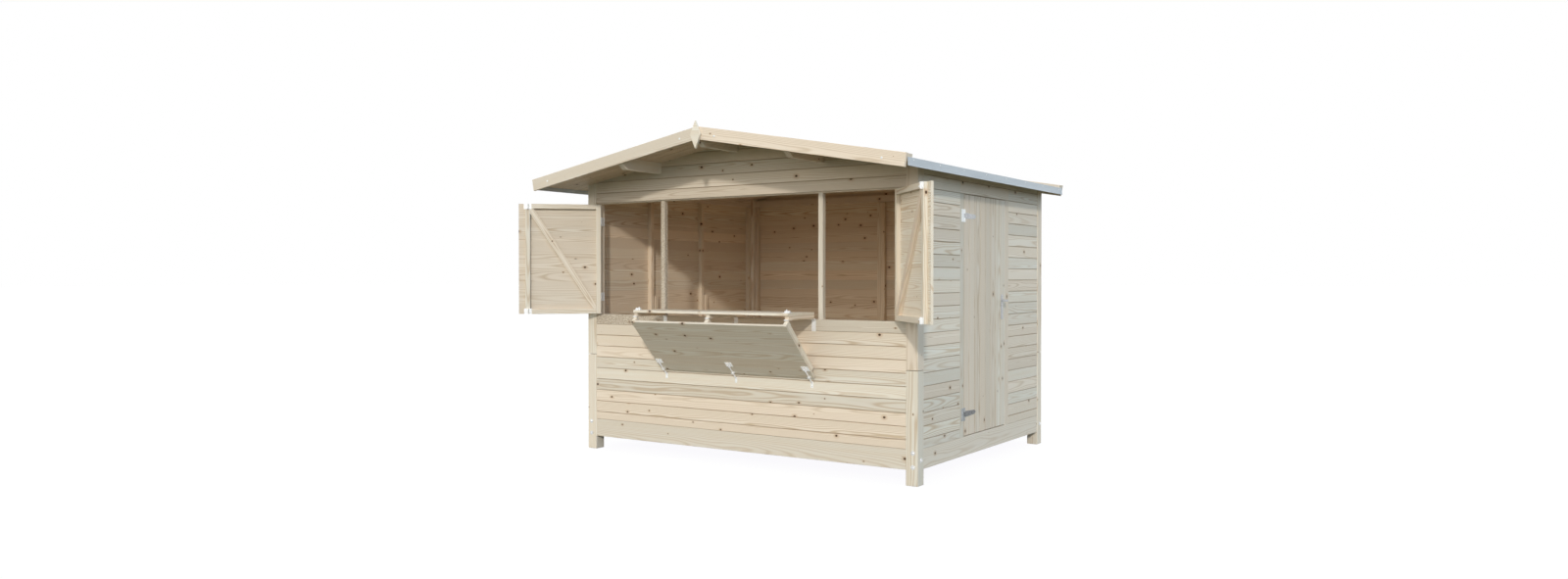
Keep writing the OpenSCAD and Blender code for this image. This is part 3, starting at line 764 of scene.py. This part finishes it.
def wall_plates():
    """Head rail over the serving opening, a rail on the rear wall, and a plate under each eaves."""
    head_depth, rear_depth, corner_gap, lift, spare = 0.080, 0.060, 0.066, 0.099, 0.01
    low, high = BOX["wall_plates"]
    inner = BOX["front_wall"][1].x
    head = BOX["mullions"][1].z
    rear = BOX["rear_wall"][0].y
    side_low, side_high = low.z + lift, high.z + spare
    near, far = low.y + corner_gap, high.y - corner_gap
    plates = [timber((-inner, low.y, head), (inner, low.y + BATTEN, head + head_depth), RIGHT, -BACK),
              timber((-inner, rear - BATTEN, side_low), (inner, rear, side_low + rear_depth), RIGHT, -BACK),
              timber((high.x - BATTEN, near, side_low), (high.x, far, side_high), BACK, RIGHT),
              timber((low.x, near, side_low), (low.x + BATTEN, far, side_high), -BACK, -RIGHT)]
    wood(cut_under_roof(join("wall_plate_timbers", plates)), "wall_plates")


def wall_studs():
    """Studs in pairs on the left wall, tall and short, and single ones in the corners and the rear."""
    tall_places, short_step, short_top = (0.712, 1.418), 0.056, 1.235
    low, high = BOX["wall_studs"]
    floor_top = BOX["floor_boards"][1].z
    front_top = BOX["front_wall"][1].z
    corner_x = SIDE - POST
    right, rear = high.x - BATTEN, high.y - BATTEN
    places = [(low.x, FRONT + y + step, low.z, top, RIGHT)
              for y in tall_places for step, top in ((0, high.z), (short_step, short_top))]
    for y in (FRONT + POST, REAR - POST - BATTEN):
        places += [(low.x, y, low.z, high.z, RIGHT), (right, y, low.z, high.z, -RIGHT)]
    for x in (-corner_x, corner_x - BATTEN):
        places += [(x, rear, floor_top, high.z, -BACK), (x, low.y, floor_top, front_top, BACK)]
    places += [(x, rear, floor_top, high.z, -BACK) for x in (-BATTEN, 0)]
    studs = join("wall_stud_timbers", [timber((x, y, bottom), (x + BATTEN, y + BATTEN, top), UP, face)
                                       for x, y, bottom, top, face in places])
    paint_indoor_shade(studs)
    wood(studs, "wall_studs")


# Roof

def roof_timbers():
    """Ridge beam and two purlins, their ends cut back below."""
    ridge_depth, purlin_depth, spare = 0.089, 0.075, 0.012
    run, rise = 0.055, 0.038
    low, high = BOX["roof_beams"]
    half, top = RAIL / 2, ROOF_UNDER.z
    beams = [timber((-half, low.y, top - ridge_depth), (half, high.y, top), BACK, -UP)]
    for x in (low.x, high.x - RAIL):
        outer = max(abs(x), abs(x + RAIL))
        under = top - outer * math.tan(SLOPE) - purlin_depth
        beams.append(timber((x, low.y, under), (x + RAIL, high.y, under + purlin_depth + spare), BACK, -UP))
    for beam in beams:
        under = min(vertex.co.z for vertex in beam.data.vertices)
        cut(beam, (0, low.y, under + rise), (0, -rise, -run))
        cut(beam, (0, high.y, under + rise), (0, rise, -run))
    wood(cut_under_roof(join("roof_beam_timbers", beams)), "roof_beams")


def roof_boarding():
    """Tongued boards from the eaves up to the ridge, their best face down."""
    # Painted shade under the roof: the boards take the warmest, darkest tone and the indoor tint
    warmth, level = 0.9, 0.0
    thick = DECK * math.cos(SLOPE)
    reach = deck_high.x / math.cos(SLOPE)
    for side, node in ((-1, "roof_deck_left"), (1, "roof_deck_right")):
        low, high = BOX[node]
        rows = round((high.y - low.y) / DECK_BOARD)
        width = (high.y - low.y) / rows
        down = -roof_normal(side)
        along = up_roof(side)
        across = down.cross(along)
        eave = Vector((side * deck_high.x, low.y if across.y > 0 else high.y, deck_low.z + DECK))
        boards = [lay(pattern(tongued_board, width, thick), eave + across * (i * width), along, down, reach,
                      warmth, level) for i in range(rows)]
        deck = join(node + "_boards", boards)
        cut(deck, (0, 0, 0), (-side, 0, 0))
        cut(deck, (side * deck_high.x, 0, 0), (side, 0, 0))
        cut(deck, (0, low.y, 0), -BACK)
        cut(deck, (0, high.y, 0), BACK)
        paint_indoor_shade(deck)
        wood(deck, node)


def barge_boards():
    """Boards along the gables' slopes, mitred at the ridge."""
    spare, half_mitre = 0.05, 0.0005
    for name, node, face in (("front_barge_timbers", "front_barge_boards", -BACK),
                             ("rear_barge_timbers", "rear_barge_boards", BACK)):
        low, high = BOX[node]
        reach = high.x / math.cos(SLOPE)
        boards = []
        for side in (-1, 1):
            down = -up_roof(side)
            along = down if face.cross(down).z > 0 else -down
            ridge = Vector((0, 0, high.z)) - roof_normal(side) * BARGE
            start = ridge - down * spare if along == down else ridge + down * reach
            start.y = high.y if face == -BACK else low.y
            board = lay(pattern(eased_timber, BARGE, BARGE_THICK), start, along, face, reach + spare)
            cut(board, (side * half_mitre, 0, 0), (-side, 0, 0))
            boards.append(board)
        timbers(name, boards, node)


def gable_diamonds():
    """Flat diamonds over the joint of the barge boards, front and rear, with a soft arris all round."""
    low, high = BOX["gable_diamonds"]
    select()
    bpy.ops.mesh.primitive_cylinder_add(vertices=4, radius=0.5, depth=1, rotation=(math.pi / 2, 0, 0))
    model = bpy.context.object
    model.name = "diamond_block"
    bpy.ops.object.transform_apply(rotation=True)
    edit_mode()
    bpy.ops.mesh.select_all(action="SELECT")
    bpy.ops.transform.resize(value=(high.x - low.x, BARGE_THICK, high.z - low.z), center_override=(0, 0, 0))
    bpy.ops.mesh.bevel(offset=0.003, segments=2)
    object_mode()
    pair = []
    for y in (low.y + BARGE_THICK / 2, high.y - BARGE_THICK / 2):
        piece = copy_of(model)
        season(piece.data, warmth=0.0, level=1.0)
        piece.data.transform(Matrix.Translation((0, y, (low.z + high.z) / 2)))
        pair.append(piece)
    bpy.data.objects.remove(model)
    timbers("gable_diamond_blocks", pair, "gable_diamonds")


def roof_battens():
    """Battens on the covering behind the barge boards, mitred at the ridge."""
    low, high = BOX["roof_battens"]
    width, height = 0.060, 0.023
    reach = high.x / math.cos(SLOPE)
    battens = []
    for side in (-1, 1):
        normal = roof_normal(side)
        along = up_roof(side)
        across = normal.cross(along)
        for y in (low.y, high.y - width):
            start = Vector((side * high.x, y if across.y > 0 else y + width, low.z))
            model = pattern(eased_timber, width, height * math.cos(SLOPE))
            batten = lay(model, start, along, normal, reach + SPARE)
            cut(batten, (0, 0, 0), (-side, 0, 0))
            battens.append(batten)
    timbers("roof_batten_timbers", battens, "roof_battens")


def felt_strip(width):
    """Strip of felt one metre long, a little uneven on top."""
    thick, lengths, rows = 0.003, 24, 5
    piece = block("felt_strip", (1, width, thick))
    edit_all(piece)
    for i in range(1, lengths):
        score((i / lengths, 0, 0), (1, 0, 0))
    for i in range(1, rows):
        score((0, width * i / rows, 0), (0, 1, 0))
    pick(piece, "FACE", lambda at, way: way.z > 0.9 and 0.03 < at.x < 0.97)
    bpy.ops.transform.vertex_random(offset=0.0006, seed=5, normal=1.0)
    object_mode()
    return piece


def roof_covering():
    """Felt laid in lapped strips along the roof with a strip over the ridge, nailed along the laps."""
    roll, second_edge, ridge_strip = 0.92, 0.84, 0.16
    nails_a_strip, nail_end, nail_up, felt_thick = 19, 0.06, 0.02, 0.003
    low, high = BOX["roof_covering"]
    length = high.y - low.y
    nail_step = (length - 2 * nail_end) / (nails_a_strip - 1)
    reach = high.x / math.cos(SLOPE)
    strips, nails = [], []
    for side in (-1, 1):
        normal = roof_normal(side)
        up = up_roof(side)
        eave = Vector((side * high.x, low.y if side > 0 else high.y, deck_low.z + DECK))
        for first, width, lift in ((0.0, roll, 0.0002), (second_edge, reach - second_edge, 0.0034),
                                   (reach - ridge_strip, ridge_strip, 0.0066)):
            start = eave + up * first + normal * lift
            strips.append(lay(pattern(felt_strip, width), start, up.cross(normal), normal, length))
            for i in range(nails_a_strip):
                at = Vector((start.x, low.y + nail_end + i * nail_step, start.z)) + up * nail_up
                nails.append(place(pattern(nail_head, FELT_NAIL), at + normal * felt_thick, normal))
    fit(join("felt_strips", strips), FELT, "roof_felt", "stall", "roof_covering")
    fittings("felt_nails", nails, "stall")


def eaves_strip(length):
    """Folded sheet at the eaves, with a hem turned back along its lower edge and a bend at the top."""
    height, sheet, hem = 0.051, 0.0012, 0.010
    piece = block("eaves_strip", (length, height, sheet))
    edit_all(piece)
    bpy.ops.mesh.bisect(plane_co=(0, hem, 0), plane_no=(0, 1, 0))
    pick(piece, "FACE", lambda at, way: way.z > 0.9 and at.y < hem)
    extrude((0, 0, 0.0016))
    pick(piece, "FACE", lambda at, way: way.y < -0.9)
    extrude((0, -0.003, 0.003))
    pick(piece, "FACE", lambda at, way: way.y > 0.9 and at.y > height * 0.9)
    extrude((0, 0.0015, -0.003))
    bevel(piece, lengthwise, 0.0004, 1)
    return piece


def eaves_trims():
    """Two lapped lengths of strip on each eaves, fixed with small screws."""
    lap, inset, lap_lift = 0.05, 0.003, 0.0013
    screws, screw_end, screw_up, screw_in = 8, 0.08, 0.036, 0.0005
    low, high = BOX["eaves_trims"]
    whole = high.y - low.y
    screw_step = (whole - 2 * screw_end) / (screws - 1)
    strips, heads = [], []
    for side in (-1, 1):
        face = RIGHT * side
        for share, lift in ((0, 0.0), (1, lap_lift)):
            length = whole / 2 + lap * (1 - share)
            y = (low.y if side > 0 else high.y) + side * share * whole / 2
            start = Vector((side * (high.x - inset + lift), y, low.z))
            strips.append(lay(pattern(eaves_strip, length), start, UP.cross(face), face))
        for i in range(screws):
            at = Vector((side * (high.x - screw_in), low.y + screw_end + i * screw_step, low.z + screw_up))
            heads.append(screw(EAVES_SCREW, at, face))
    fit(join("eaves_strips", strips), COATED, "eaves_metal", "stall", "eaves_trims")
    fittings("eaves_screws", heads, "stall")


# Small ironwork

def disc(name, radius, height, sides):
    """A short round bar standing on the origin."""
    select()
    bpy.ops.mesh.primitive_cylinder_add(vertices=sides, radius=radius, depth=height)
    piece = bpy.context.object
    piece.name = name
    edit_mode()
    bpy.ops.transform.translate(value=(0, 0, height / 2))
    object_mode()
    return piece


def round_over(piece, height, amount):
    bevel(piece, lambda at, way: at.z > height * 0.95, amount, 3)


def nail_head(radius):
    """Flat nail head with a rounded rim."""
    height = radius * 0.35
    piece = disc("nail_head", radius, height, 12)
    round_over(piece, height, height * 0.6)
    return piece


def screw_head(radius):
    """Pan head with a recess for the driver."""
    height = radius * 0.5
    piece = disc("screw_head", radius, height, 16)
    round_over(piece, height, height * 0.6)
    pick(piece, "FACE", lambda at, way: way.z > 0.99 and at.length < height * 1.2)
    bpy.ops.mesh.inset(thickness=radius * 0.30)
    extrude((0, 0, -height * 0.7))
    bpy.ops.transform.resize(value=(0.4, 0.4, 1))
    object_mode()
    return piece


def coach_bolt(radius):
    """Domed bolt head on a round washer."""
    thick = 0.002
    washer = disc("coach_bolt", radius * 1.5, thick, 24)
    round_over(washer, thick, 0.0008)
    pick(washer, "FACE", lambda at, way: way.z > 0.99 and at.length < 0.003)
    bpy.ops.mesh.inset(thickness=radius * 0.45)
    for rise, size in ((0.0032, 0.97), (0.0026, 0.86), (0.0018, 0.66), (0.0008, 0.5)):
        extrude((0, 0, rise))
        bpy.ops.transform.resize(value=(size, size, 1))
    object_mode()
    return washer


def place(model, at, out):
    """A copy of a small fitting standing on a face at a point, spun at random."""
    piece = copy_of(model)
    spin = Matrix.Rotation(rng.uniform(0, 3), 4, "Z")
    turn = Vector(out).to_track_quat("Z", "Y").to_matrix().to_4x4() @ spin
    piece.data.transform(Matrix.Translation(at) @ turn)
    return piece


def screw(radius, at, out):
    return place(pattern(screw_head, radius), at, out)


def smoothed(piece):
    select(piece)
    bpy.ops.object.shade_smooth_by_angle(angle=SMOOTH_ANGLE)
    return piece


# Leaves that move

def turned(pieces, joint, angle):
    """Swings pieces about a joint's pin."""
    pin = Vector(JOINT[joint]["pos_m"])
    axis = Vector(JOINT[joint]["axis"])
    swing = Matrix.Translation(pin) @ Matrix.Rotation(angle, 4, axis) @ Matrix.Translation(-pin)
    for piece in pieces:
        piece.data.transform(swing)


def shutter(name, side, warm, light, brace_warmth):
    """Horizontal boards with battens and a brace on the inner face, built closed and swung open."""
    board_count, brace_spare = 10, 0.1
    bolt_across, bolt_along = (-0.0135, 0.0135), (0.009, 0.035)
    hinge_in, hinge_back, hinge_along = 0.136, 0.019, (-0.025, 0, 0.025)
    pin = Vector(JOINT[name + "_hinge"]["pos_m"])
    edge, free = side * (abs(pin.x) - PIN_OUT), side * LEAF_FREE
    bottom, top = BOX[name + "_boards"][0].z, BOX[name + "_boards"][1].z
    outer, inner = pin.y - HALF_LEAF, pin.y + HALF_LEAF
    back = inner + LEAF_FRAME
    left, right = sorted((edge, free))
    boards = panel(name + "_boarding", (left, outer, bottom), (right, inner, top), RIGHT, -BACK, board_count,
                   warm=warm, light=light)

    left, right = sorted((edge, free + side * LEAF_LAP))
    bay_left, bay_right, bay_bottom, bay_top = left + BATTEN, right - BATTEN, bottom + BATTEN, top - BATTEN
    frame_parts = [timber((x, inner, bottom), (x + BATTEN, back, top), UP, BACK, 0.1)
                   for x in (left, bay_right)]
    frame_parts += [timber((bay_left, inner, z), (bay_right, back, z + BATTEN), -RIGHT, BACK, 0.3)
                    for z in (bottom, bay_top)]
    high_end = Vector((bay_left if side > 0 else bay_right, inner, bay_top))
    low_end = Vector((bay_right if side > 0 else bay_left, inner, bay_bottom))
    along = (low_end - high_end).normalized()
    start = high_end - along * brace_spare - BACK.cross(along) * (BRACE / 2)
    brace = lay(pattern(eased_timber, BRACE, LEAF_FRAME), start, along, BACK,
                (low_end - high_end).length + 2 * brace_spare, brace_warmth)
    for point, normal in (((bay_left, 0, 0), -RIGHT), ((bay_right, 0, 0), RIGHT),
                          ((0, 0, bay_bottom), -UP), ((0, 0, bay_top), UP)):
        cut(brace, point, normal)
    battens = join(name + "_battens", frame_parts + [brace])

    bolt = free + side * (LEAF_LAP + BATTEN / 2)
    heads = [screw(SCREW, (bolt + dx, back + PLATE, z + way * dz), BACK)
             for z, way in ((top, -1), (bottom, 1)) for dx in bolt_across for dz in bolt_along]
    heads += [screw(SMALL_SCREW, (edge + side * PLATE, pin.y + hinge_back, z + dz), RIGHT * side)
              for z in (bottom + hinge_in, top - hinge_in) for dz in hinge_along]
    screws = join(name + "_screws", heads)
    turned((boards, battens, screws), name + "_hinge", SHUTTER_OPEN)
    wood(boards, name + "_boards", name)
    wood(battens, name + "_frame", name)
    fit(screws, ZINC, "zinc", name)


def counter_and_support():
    """Counter flap on three cleats, and the support leaf built level with it and folded under."""
    bolt_in, bolt_side, bolt_span, bolt_along = 0.034, 0.002, 0.021, (0.009, 0.035)
    low, high = BOX["counter_boards"]
    boards = panel("counter_boarding", low, high, RIGHT, UP, 4, warm=(0.0, 0.2), light=(0.8, 1.0))
    wood(boards, "counter_boards", "counter")
    cleat_low, cleat_high = BOX["counter_cleats"]
    lefts = (low.x, -CLEAT / 2, high.x - CLEAT)
    cleats = [timber((x, cleat_low.y, cleat_low.z), (x + CLEAT, cleat_high.y, cleat_high.z), BACK, -UP)
              for x in lefts]
    timbers("counter_cleat_timbers", cleats, "counter_cleats", "counter")
    plate_top = high.z + PLATE
    heads = [screw(SCREW, (side * (high.x - bolt_side - dx), low.y + bolt_in + dy, plate_top), UP)
             for side in (-1, 1) for dx in bolt_along for dy in (-bolt_span, bolt_span)]
    fittings("counter_screws", heads, "counter")

    cleat_end, cleat_gap, bolt_far, bolt_edge = 0.060, 0.010, 0.078, 0.030
    near = low.y - FOLD_GAP
    far = near - SUPPORT
    fold = Vector(JOINT["support_fold"]["pos_m"])
    # Painted shade: the support leaf's boards take the darkest tones, as the leaf faces down and away from the
    # light
    boards = panel("support_boarding", (low.x, far, low.z), (high.x, near, high.z), RIGHT, UP, 6,
                   warm=(0.0, 0.3), light=(0.0, 0.3))
    cleats = join("support_cleat_timbers", [timber((x, far + cleat_end, fold.z),
                                                   (x + CLEAT, fold.y - cleat_gap, low.z), BACK, -UP)
                                            for x in lefts])
    heads = [screw(SCREW, (x + dx, far + bolt_far + dy, plate_top), UP)
             for x in (low.x + bolt_edge, 0, high.x - bolt_edge)
             for dx in (-bolt_span, bolt_span) for dy in bolt_along]
    screws = join("support_screws", heads)
    turned((boards, cleats, screws), "support_fold", -FOLD_OPEN)
    wood(boards, "support_boards", "support_leaf")
    wood(cleats, "support_cleats", "support_leaf")
    fit(screws, ZINC, "zinc", "support_leaf")


def door_and_frame():
    """Eight upright boards on two ledges, hung between plain jambs."""
    low, high = BOX["door_boards"]
    boards = panel("door_boarding", low, high, UP, RIGHT, 8, door_board, (0.2, 1.0), (0.0, 0.5))
    wood(boards, "door_boards", "door")
    low, high = BOX["door_ledges"]
    ledges = [timber((low.x, low.y, z), (high.x, high.y, z + LEDGE), BACK, -RIGHT)
              for z in (low.z, high.z - LEDGE)]
    timbers("door_ledge_timbers", ledges, "door_ledges", "door")
    low, high = BOX["door_frame"]
    top = BOX["side_wall_over_door"][0].z
    head_inset = 0.020
    parts = [timber((low.x, y, low.z), (high.x, y + DOOR_JAMB, top), UP, RIGHT)
             for y in (low.y, high.y - DOOR_JAMB)]
    parts.append(timber((low.x, low.y, top), (high.x - head_inset, high.y, high.z), BACK, -RIGHT))
    timbers("door_frame_timbers", parts, "door_frame")


def handle_plate(width, height, thick):
    plate = block("handle_plate", (thick, width, height))
    bevel(plate, lengthwise, 0.0165, 7)
    bevel(plate, lambda at, way: at.x > thick * 0.9 and abs(way.x) < 0.1, 0.0014, 2)
    return plate


def handle_lever():
    """Spindle that bends into a tapering grip, drawn along z and bent towards -y."""
    collar = 0.012
    lever = disc("lever", 0.0115, collar, 20)
    round_over(lever, collar, 0.002)
    pick(lever, "FACE", lambda at, way: way.z > 0.99 and at.z > 0.011)
    bpy.ops.mesh.inset(thickness=0.0015)
    extrude((0, 0, 0.026))
    for step in ((0, -0.002, 0.007), (0, -0.005, 0.004), (0, -0.008, 0.001)):
        extrude(step)
        bpy.ops.transform.rotate(value=math.radians(30), orient_axis="X")
    for step, size in (((0, -0.030, 0), 1.0), ((0, -0.035, -0.001), 0.94), ((0, -0.022, -0.004), 0.84),
                       ((0, -0.003, -0.001), 0.6)):
        extrude(step)
        bpy.ops.transform.resize(value=(size, size, size))
    object_mode()
    return lever


def key_cylinder():
    height = 0.004
    key = disc("key_cylinder", 0.0085, height, 20)
    round_over(key, height, 0.0008)
    pick(key, "FACE", lambda at, way: way.z > 0.99 and at.z > 0.0035)
    bpy.ops.mesh.inset(thickness=0.004)
    bpy.ops.transform.resize(value=(0.45, 1.5, 1))
    extrude((0, 0, -0.003))
    object_mode()
    return key


def door_handle():
    """Long rounded plate, a lever with a bent grip, and the key's cylinder below it."""
    width, thick, key_up, screw_in = 0.036, 0.005, 0.062, 0.016
    low, high = BOX["door_handle"]
    height = high.z - low.z
    mid = high.y - width / 2
    face = low.x + thick
    plate = handle_plate(width, height, thick)
    plate.data.transform(Matrix.Translation((low.x, mid - width / 2, low.z)))
    lever = handle_lever()
    spindle = Vector((face, mid, (low.z + high.z) / 2 + height / 4))
    lever.data.transform(Matrix.Translation(spindle) @ Matrix(((0, 0, 1), (0, 1, 0), (-1, 0, 0))).to_4x4())
    key = key_cylinder()
    key_at = Vector((face, mid, low.z + key_up))
    key.data.transform(Matrix.Translation(key_at) @ Matrix(((0, 0, 1), (1, 0, 0), (0, 1, 0))).to_4x4())
    heads = [screw(SMALL_SCREW, (face, mid, z), RIGHT) for z in (low.z + screw_in, high.z - screw_in)]
    piece = smoothed(join("handle_set", [plate, lever, key] + heads))
    fit(piece, DULL_ZINC, "zinc", "door", "door_handle")


def bolts_and_nails():
    """Coach bolts at the post feet and nails in the barge boards."""
    bolt_x, bolt_heights, side_bolt_z = 1.463, (0.126, 0.222), 0.171
    heads = []
    model = pattern(coach_bolt, COACH_BOLT)
    for side in (-1, 1):
        heads += [place(model, (side * bolt_x, y, z), out)
                  for y, out in ((FRONT, -BACK), (REAR, BACK)) for z in bolt_heights]
        heads += [place(model, (side * SIDE, y, side_bolt_z), RIGHT * side)
                  for y in (FRONT + 0.047, REAR - 0.038)]
    fit(smoothed(join("post_bolts", heads)), BOLT_ZINC, "zinc", "stall")
    nail_places = ((-1.486, 2.149), (-0.156, 2.383), (0.154, 2.379), (1.478, 2.146))
    nails = []
    for y, out in ((BOX["front_barge_boards"][0].y, -BACK), (BOX["rear_barge_boards"][1].y, BACK)):
        nails += [place(pattern(nail_head, BARGE_NAIL), (x, y, z), out) for x, z in nail_places]
    fit(smoothed(join("barge_nails", nails)), ZINC, "zinc", "stall")


def hinge_screws():
    """Screws in the counter's wall plates and in both sides of the door's strap hinges."""
    sill_z = 1.100
    face = BOX["front_wall"][0].y - PLATE
    counter = BOX["counter_boards"]
    screws = [screw(SMALL_SCREW, (x + dx, face, sill_z - dz), -BACK)
              for x in (counter[0].x + CLEAT / 2, 0, counter[1].x - CLEAT / 2)
              for dx, dz in ((-0.008, 0.030), (0.008, 0.050), (-0.008, 0.072))]
    hinge_y = JOINT["door_hinge"]["pos_m"][1]
    wall_x = BOX["door_frame"][1].x + PLATE
    straps = (BOX["door_ledges"][0].z + LEDGE / 2, BOX["door_ledges"][1].z - LEDGE / 2)
    screws += [screw(SCREW, (wall_x, hinge_y - dy, z + dz), RIGHT)
               for z in straps for dy in (0.020, 0.038) for dz in (-0.032, 0.032)]
    fittings("hinge_screws", screws, "stall", PAINTED_LIGHT_HINGE_ZINC)
    moving = [screw(SCREW, (wall_x, hinge_y + dy, z + dz), RIGHT) for z in straps
              for dy, dz in ((0.030, -0.010), (0.030, 0.010), (0.085, 0), (0.135, 0), (0.180, 0))]
    fittings("strap_screws", moving, "door", DULL_ZINC)


# Surroundings, light and camera

def seen_directly(tree):
    """1 for rays from the camera or off a shiny face, which see white surroundings."""
    rays = add_node(tree, "LightPath").outputs
    return sums("MAXIMUM", rays["Is Camera Ray"], rays["Is Glossy Ray"])


def studio_floor():
    """Floor that throws a dim light on the stall and shows as near white."""
    select()
    bpy.ops.mesh.primitive_plane_add(size=400)
    ground = bpy.context.object
    ground.name = "studio_floor"
    finish, tree, surface = new_material("studio floor")
    tree.nodes.remove(surface)
    matt = add_node(tree, "BsdfDiffuse", {"Color": FLOOR_TONE})
    glow = add_node(tree, "Emission", {"Color": FLOOR_GLOW, "Strength": seen_directly(tree)})
    both = add_node(tree, "AddShader", {0: matt.outputs[0], 1: glow.outputs[0]})
    fill(tree.nodes["Material Output"], {"Surface": both.outputs[0]})
    ground.data.materials.append(finish)


def studio_sky():
    """Sky that is warm on the left of the front, cool elsewhere, darker overhead and white where seen."""
    world = bpy.data.worlds.new("studio")
    bpy.context.scene.world = world
    world.use_nodes = True
    tree = world.node_tree
    way = add_node(tree, "TexCoord").outputs["Generated"]
    towards = vectors("DOT_PRODUCT", way, WARM_SIDE)["Value"]
    around = mixed(stepped(towards, 0.0, 0.95), SKY_COOL, SKY_WARM)
    overhead = mixed(stepped(axes_of(way)[2], 0.10, 0.75), around, SKY_TOP)
    sky = tree.nodes["Background"]
    fill(sky, {"Color": overhead, "Strength": SKY_STRENGTH})
    white = add_node(tree, "Background", {"Color": WHITE, "Strength": 1.0})
    choice = add_node(tree, "MixShader", {0: seen_directly(tree), 1: sky.outputs[0], 2: white.outputs[0]})
    fill(tree.nodes["World Output"], {"Surface": choice.outputs[0]})


def add_light(name, kind, energy, colour):
    lamp = bpy.data.lights.new(name, kind)
    lamp.energy = energy
    lamp.color = colour
    light = bpy.data.objects.new(name, lamp)
    bpy.context.scene.collection.objects.link(light)
    return light


def key_light():
    """Low sun from the front right."""
    sun = add_light("key_light", "SUN", SUN_STRENGTH, SUN_COLOUR)
    sun.data.angle = SUN_WIDTH
    level = math.cos(SUN_HEIGHT)
    source = Vector((math.sin(SUN_AZIMUTH) * level, -math.cos(SUN_AZIMUTH) * level, math.sin(SUN_HEIGHT)))
    sun.rotation_euler = source.to_track_quat("Z", "Y").to_euler()


def bounce_light(name, at, width, depth, energy, colour):
    """Weak light thrown upwards where the stall shades itself, unseen by the camera."""
    light = add_light(name, "AREA", energy, colour)
    light.data.shape = "RECTANGLE"
    light.data.size, light.data.size_y = width, depth
    light.location = at
    light.rotation_euler = (math.pi, 0, 0)
    light.visible_camera = False
    light.visible_glossy = False


def photo_camera():
    lens = bpy.data.cameras.new("photo_camera")
    lens.sensor_width = CAMERA_SENSOR
    lens.lens = CAMERA_LENS
    lens.clip_end = 500
    camera = bpy.data.objects.new("photo_camera", lens)
    camera.location = CAMERA_PLACE
    camera.rotation_euler = (CAMERA_TILT, 0, CAMERA_TURN)
    bpy.context.scene.collection.objects.link(camera)
    bpy.context.scene.camera = camera


corner_posts()
base_timbers()
floor_timbers()
walls()
front_gable()
opening_timbers()
wall_plates()
wall_studs()
roof_timbers()
roof_boarding()
barge_boards()
gable_diamonds()
roof_battens()
roof_covering()
eaves_trims()
shutter("left_shutter", -1, warm=(0.5, 1.0), light=(0.1, 0.5), brace_warmth=0.6)
# Painted light and shade on the right shutter: its boards take the palest, lightest tone for the sun on its inner
# face, its brace the most peach for the shade on it
shutter("right_shutter", 1, warm=(0.0, 0.3), light=(1.0, 1.0), brace_warmth=1.0)
counter_and_support()
door_and_frame()
door_handle()
bolts_and_nails()
hinge_screws()

for model in patterns.values():
    bpy.data.objects.remove(model)

slot_finish = {"zinc": ZINC, "eaves_metal": COATED, "roof_felt": FELT, "spruce": PLANED}
node_finish = {"door_straps": DULL_ZINC, "fixed_hinge_plates": PAINTED_LIGHT_HINGE_ZINC}
for subpart in frame["record"]["subparts"]:
    node = frame["nodes"][subpart["node"]]
    node.data.materials.clear()
    node.data.materials.append(node_finish.get(subpart["node"], slot_finish[subpart["material_slot"]]))

bpy.context.scene.view_settings.view_transform = "Standard"
studio_floor()
studio_sky()
key_light()
bounce_light("room_light", (0, 0.15, 0.45), 2.0, 1.4, 2.6, (1.0, 0.80, 0.60))
bounce_light("counter_light", (0, -1.015, 0.85), 1.3, 0.08, 0.32, (1.0, 0.86, 0.68))
photo_camera()
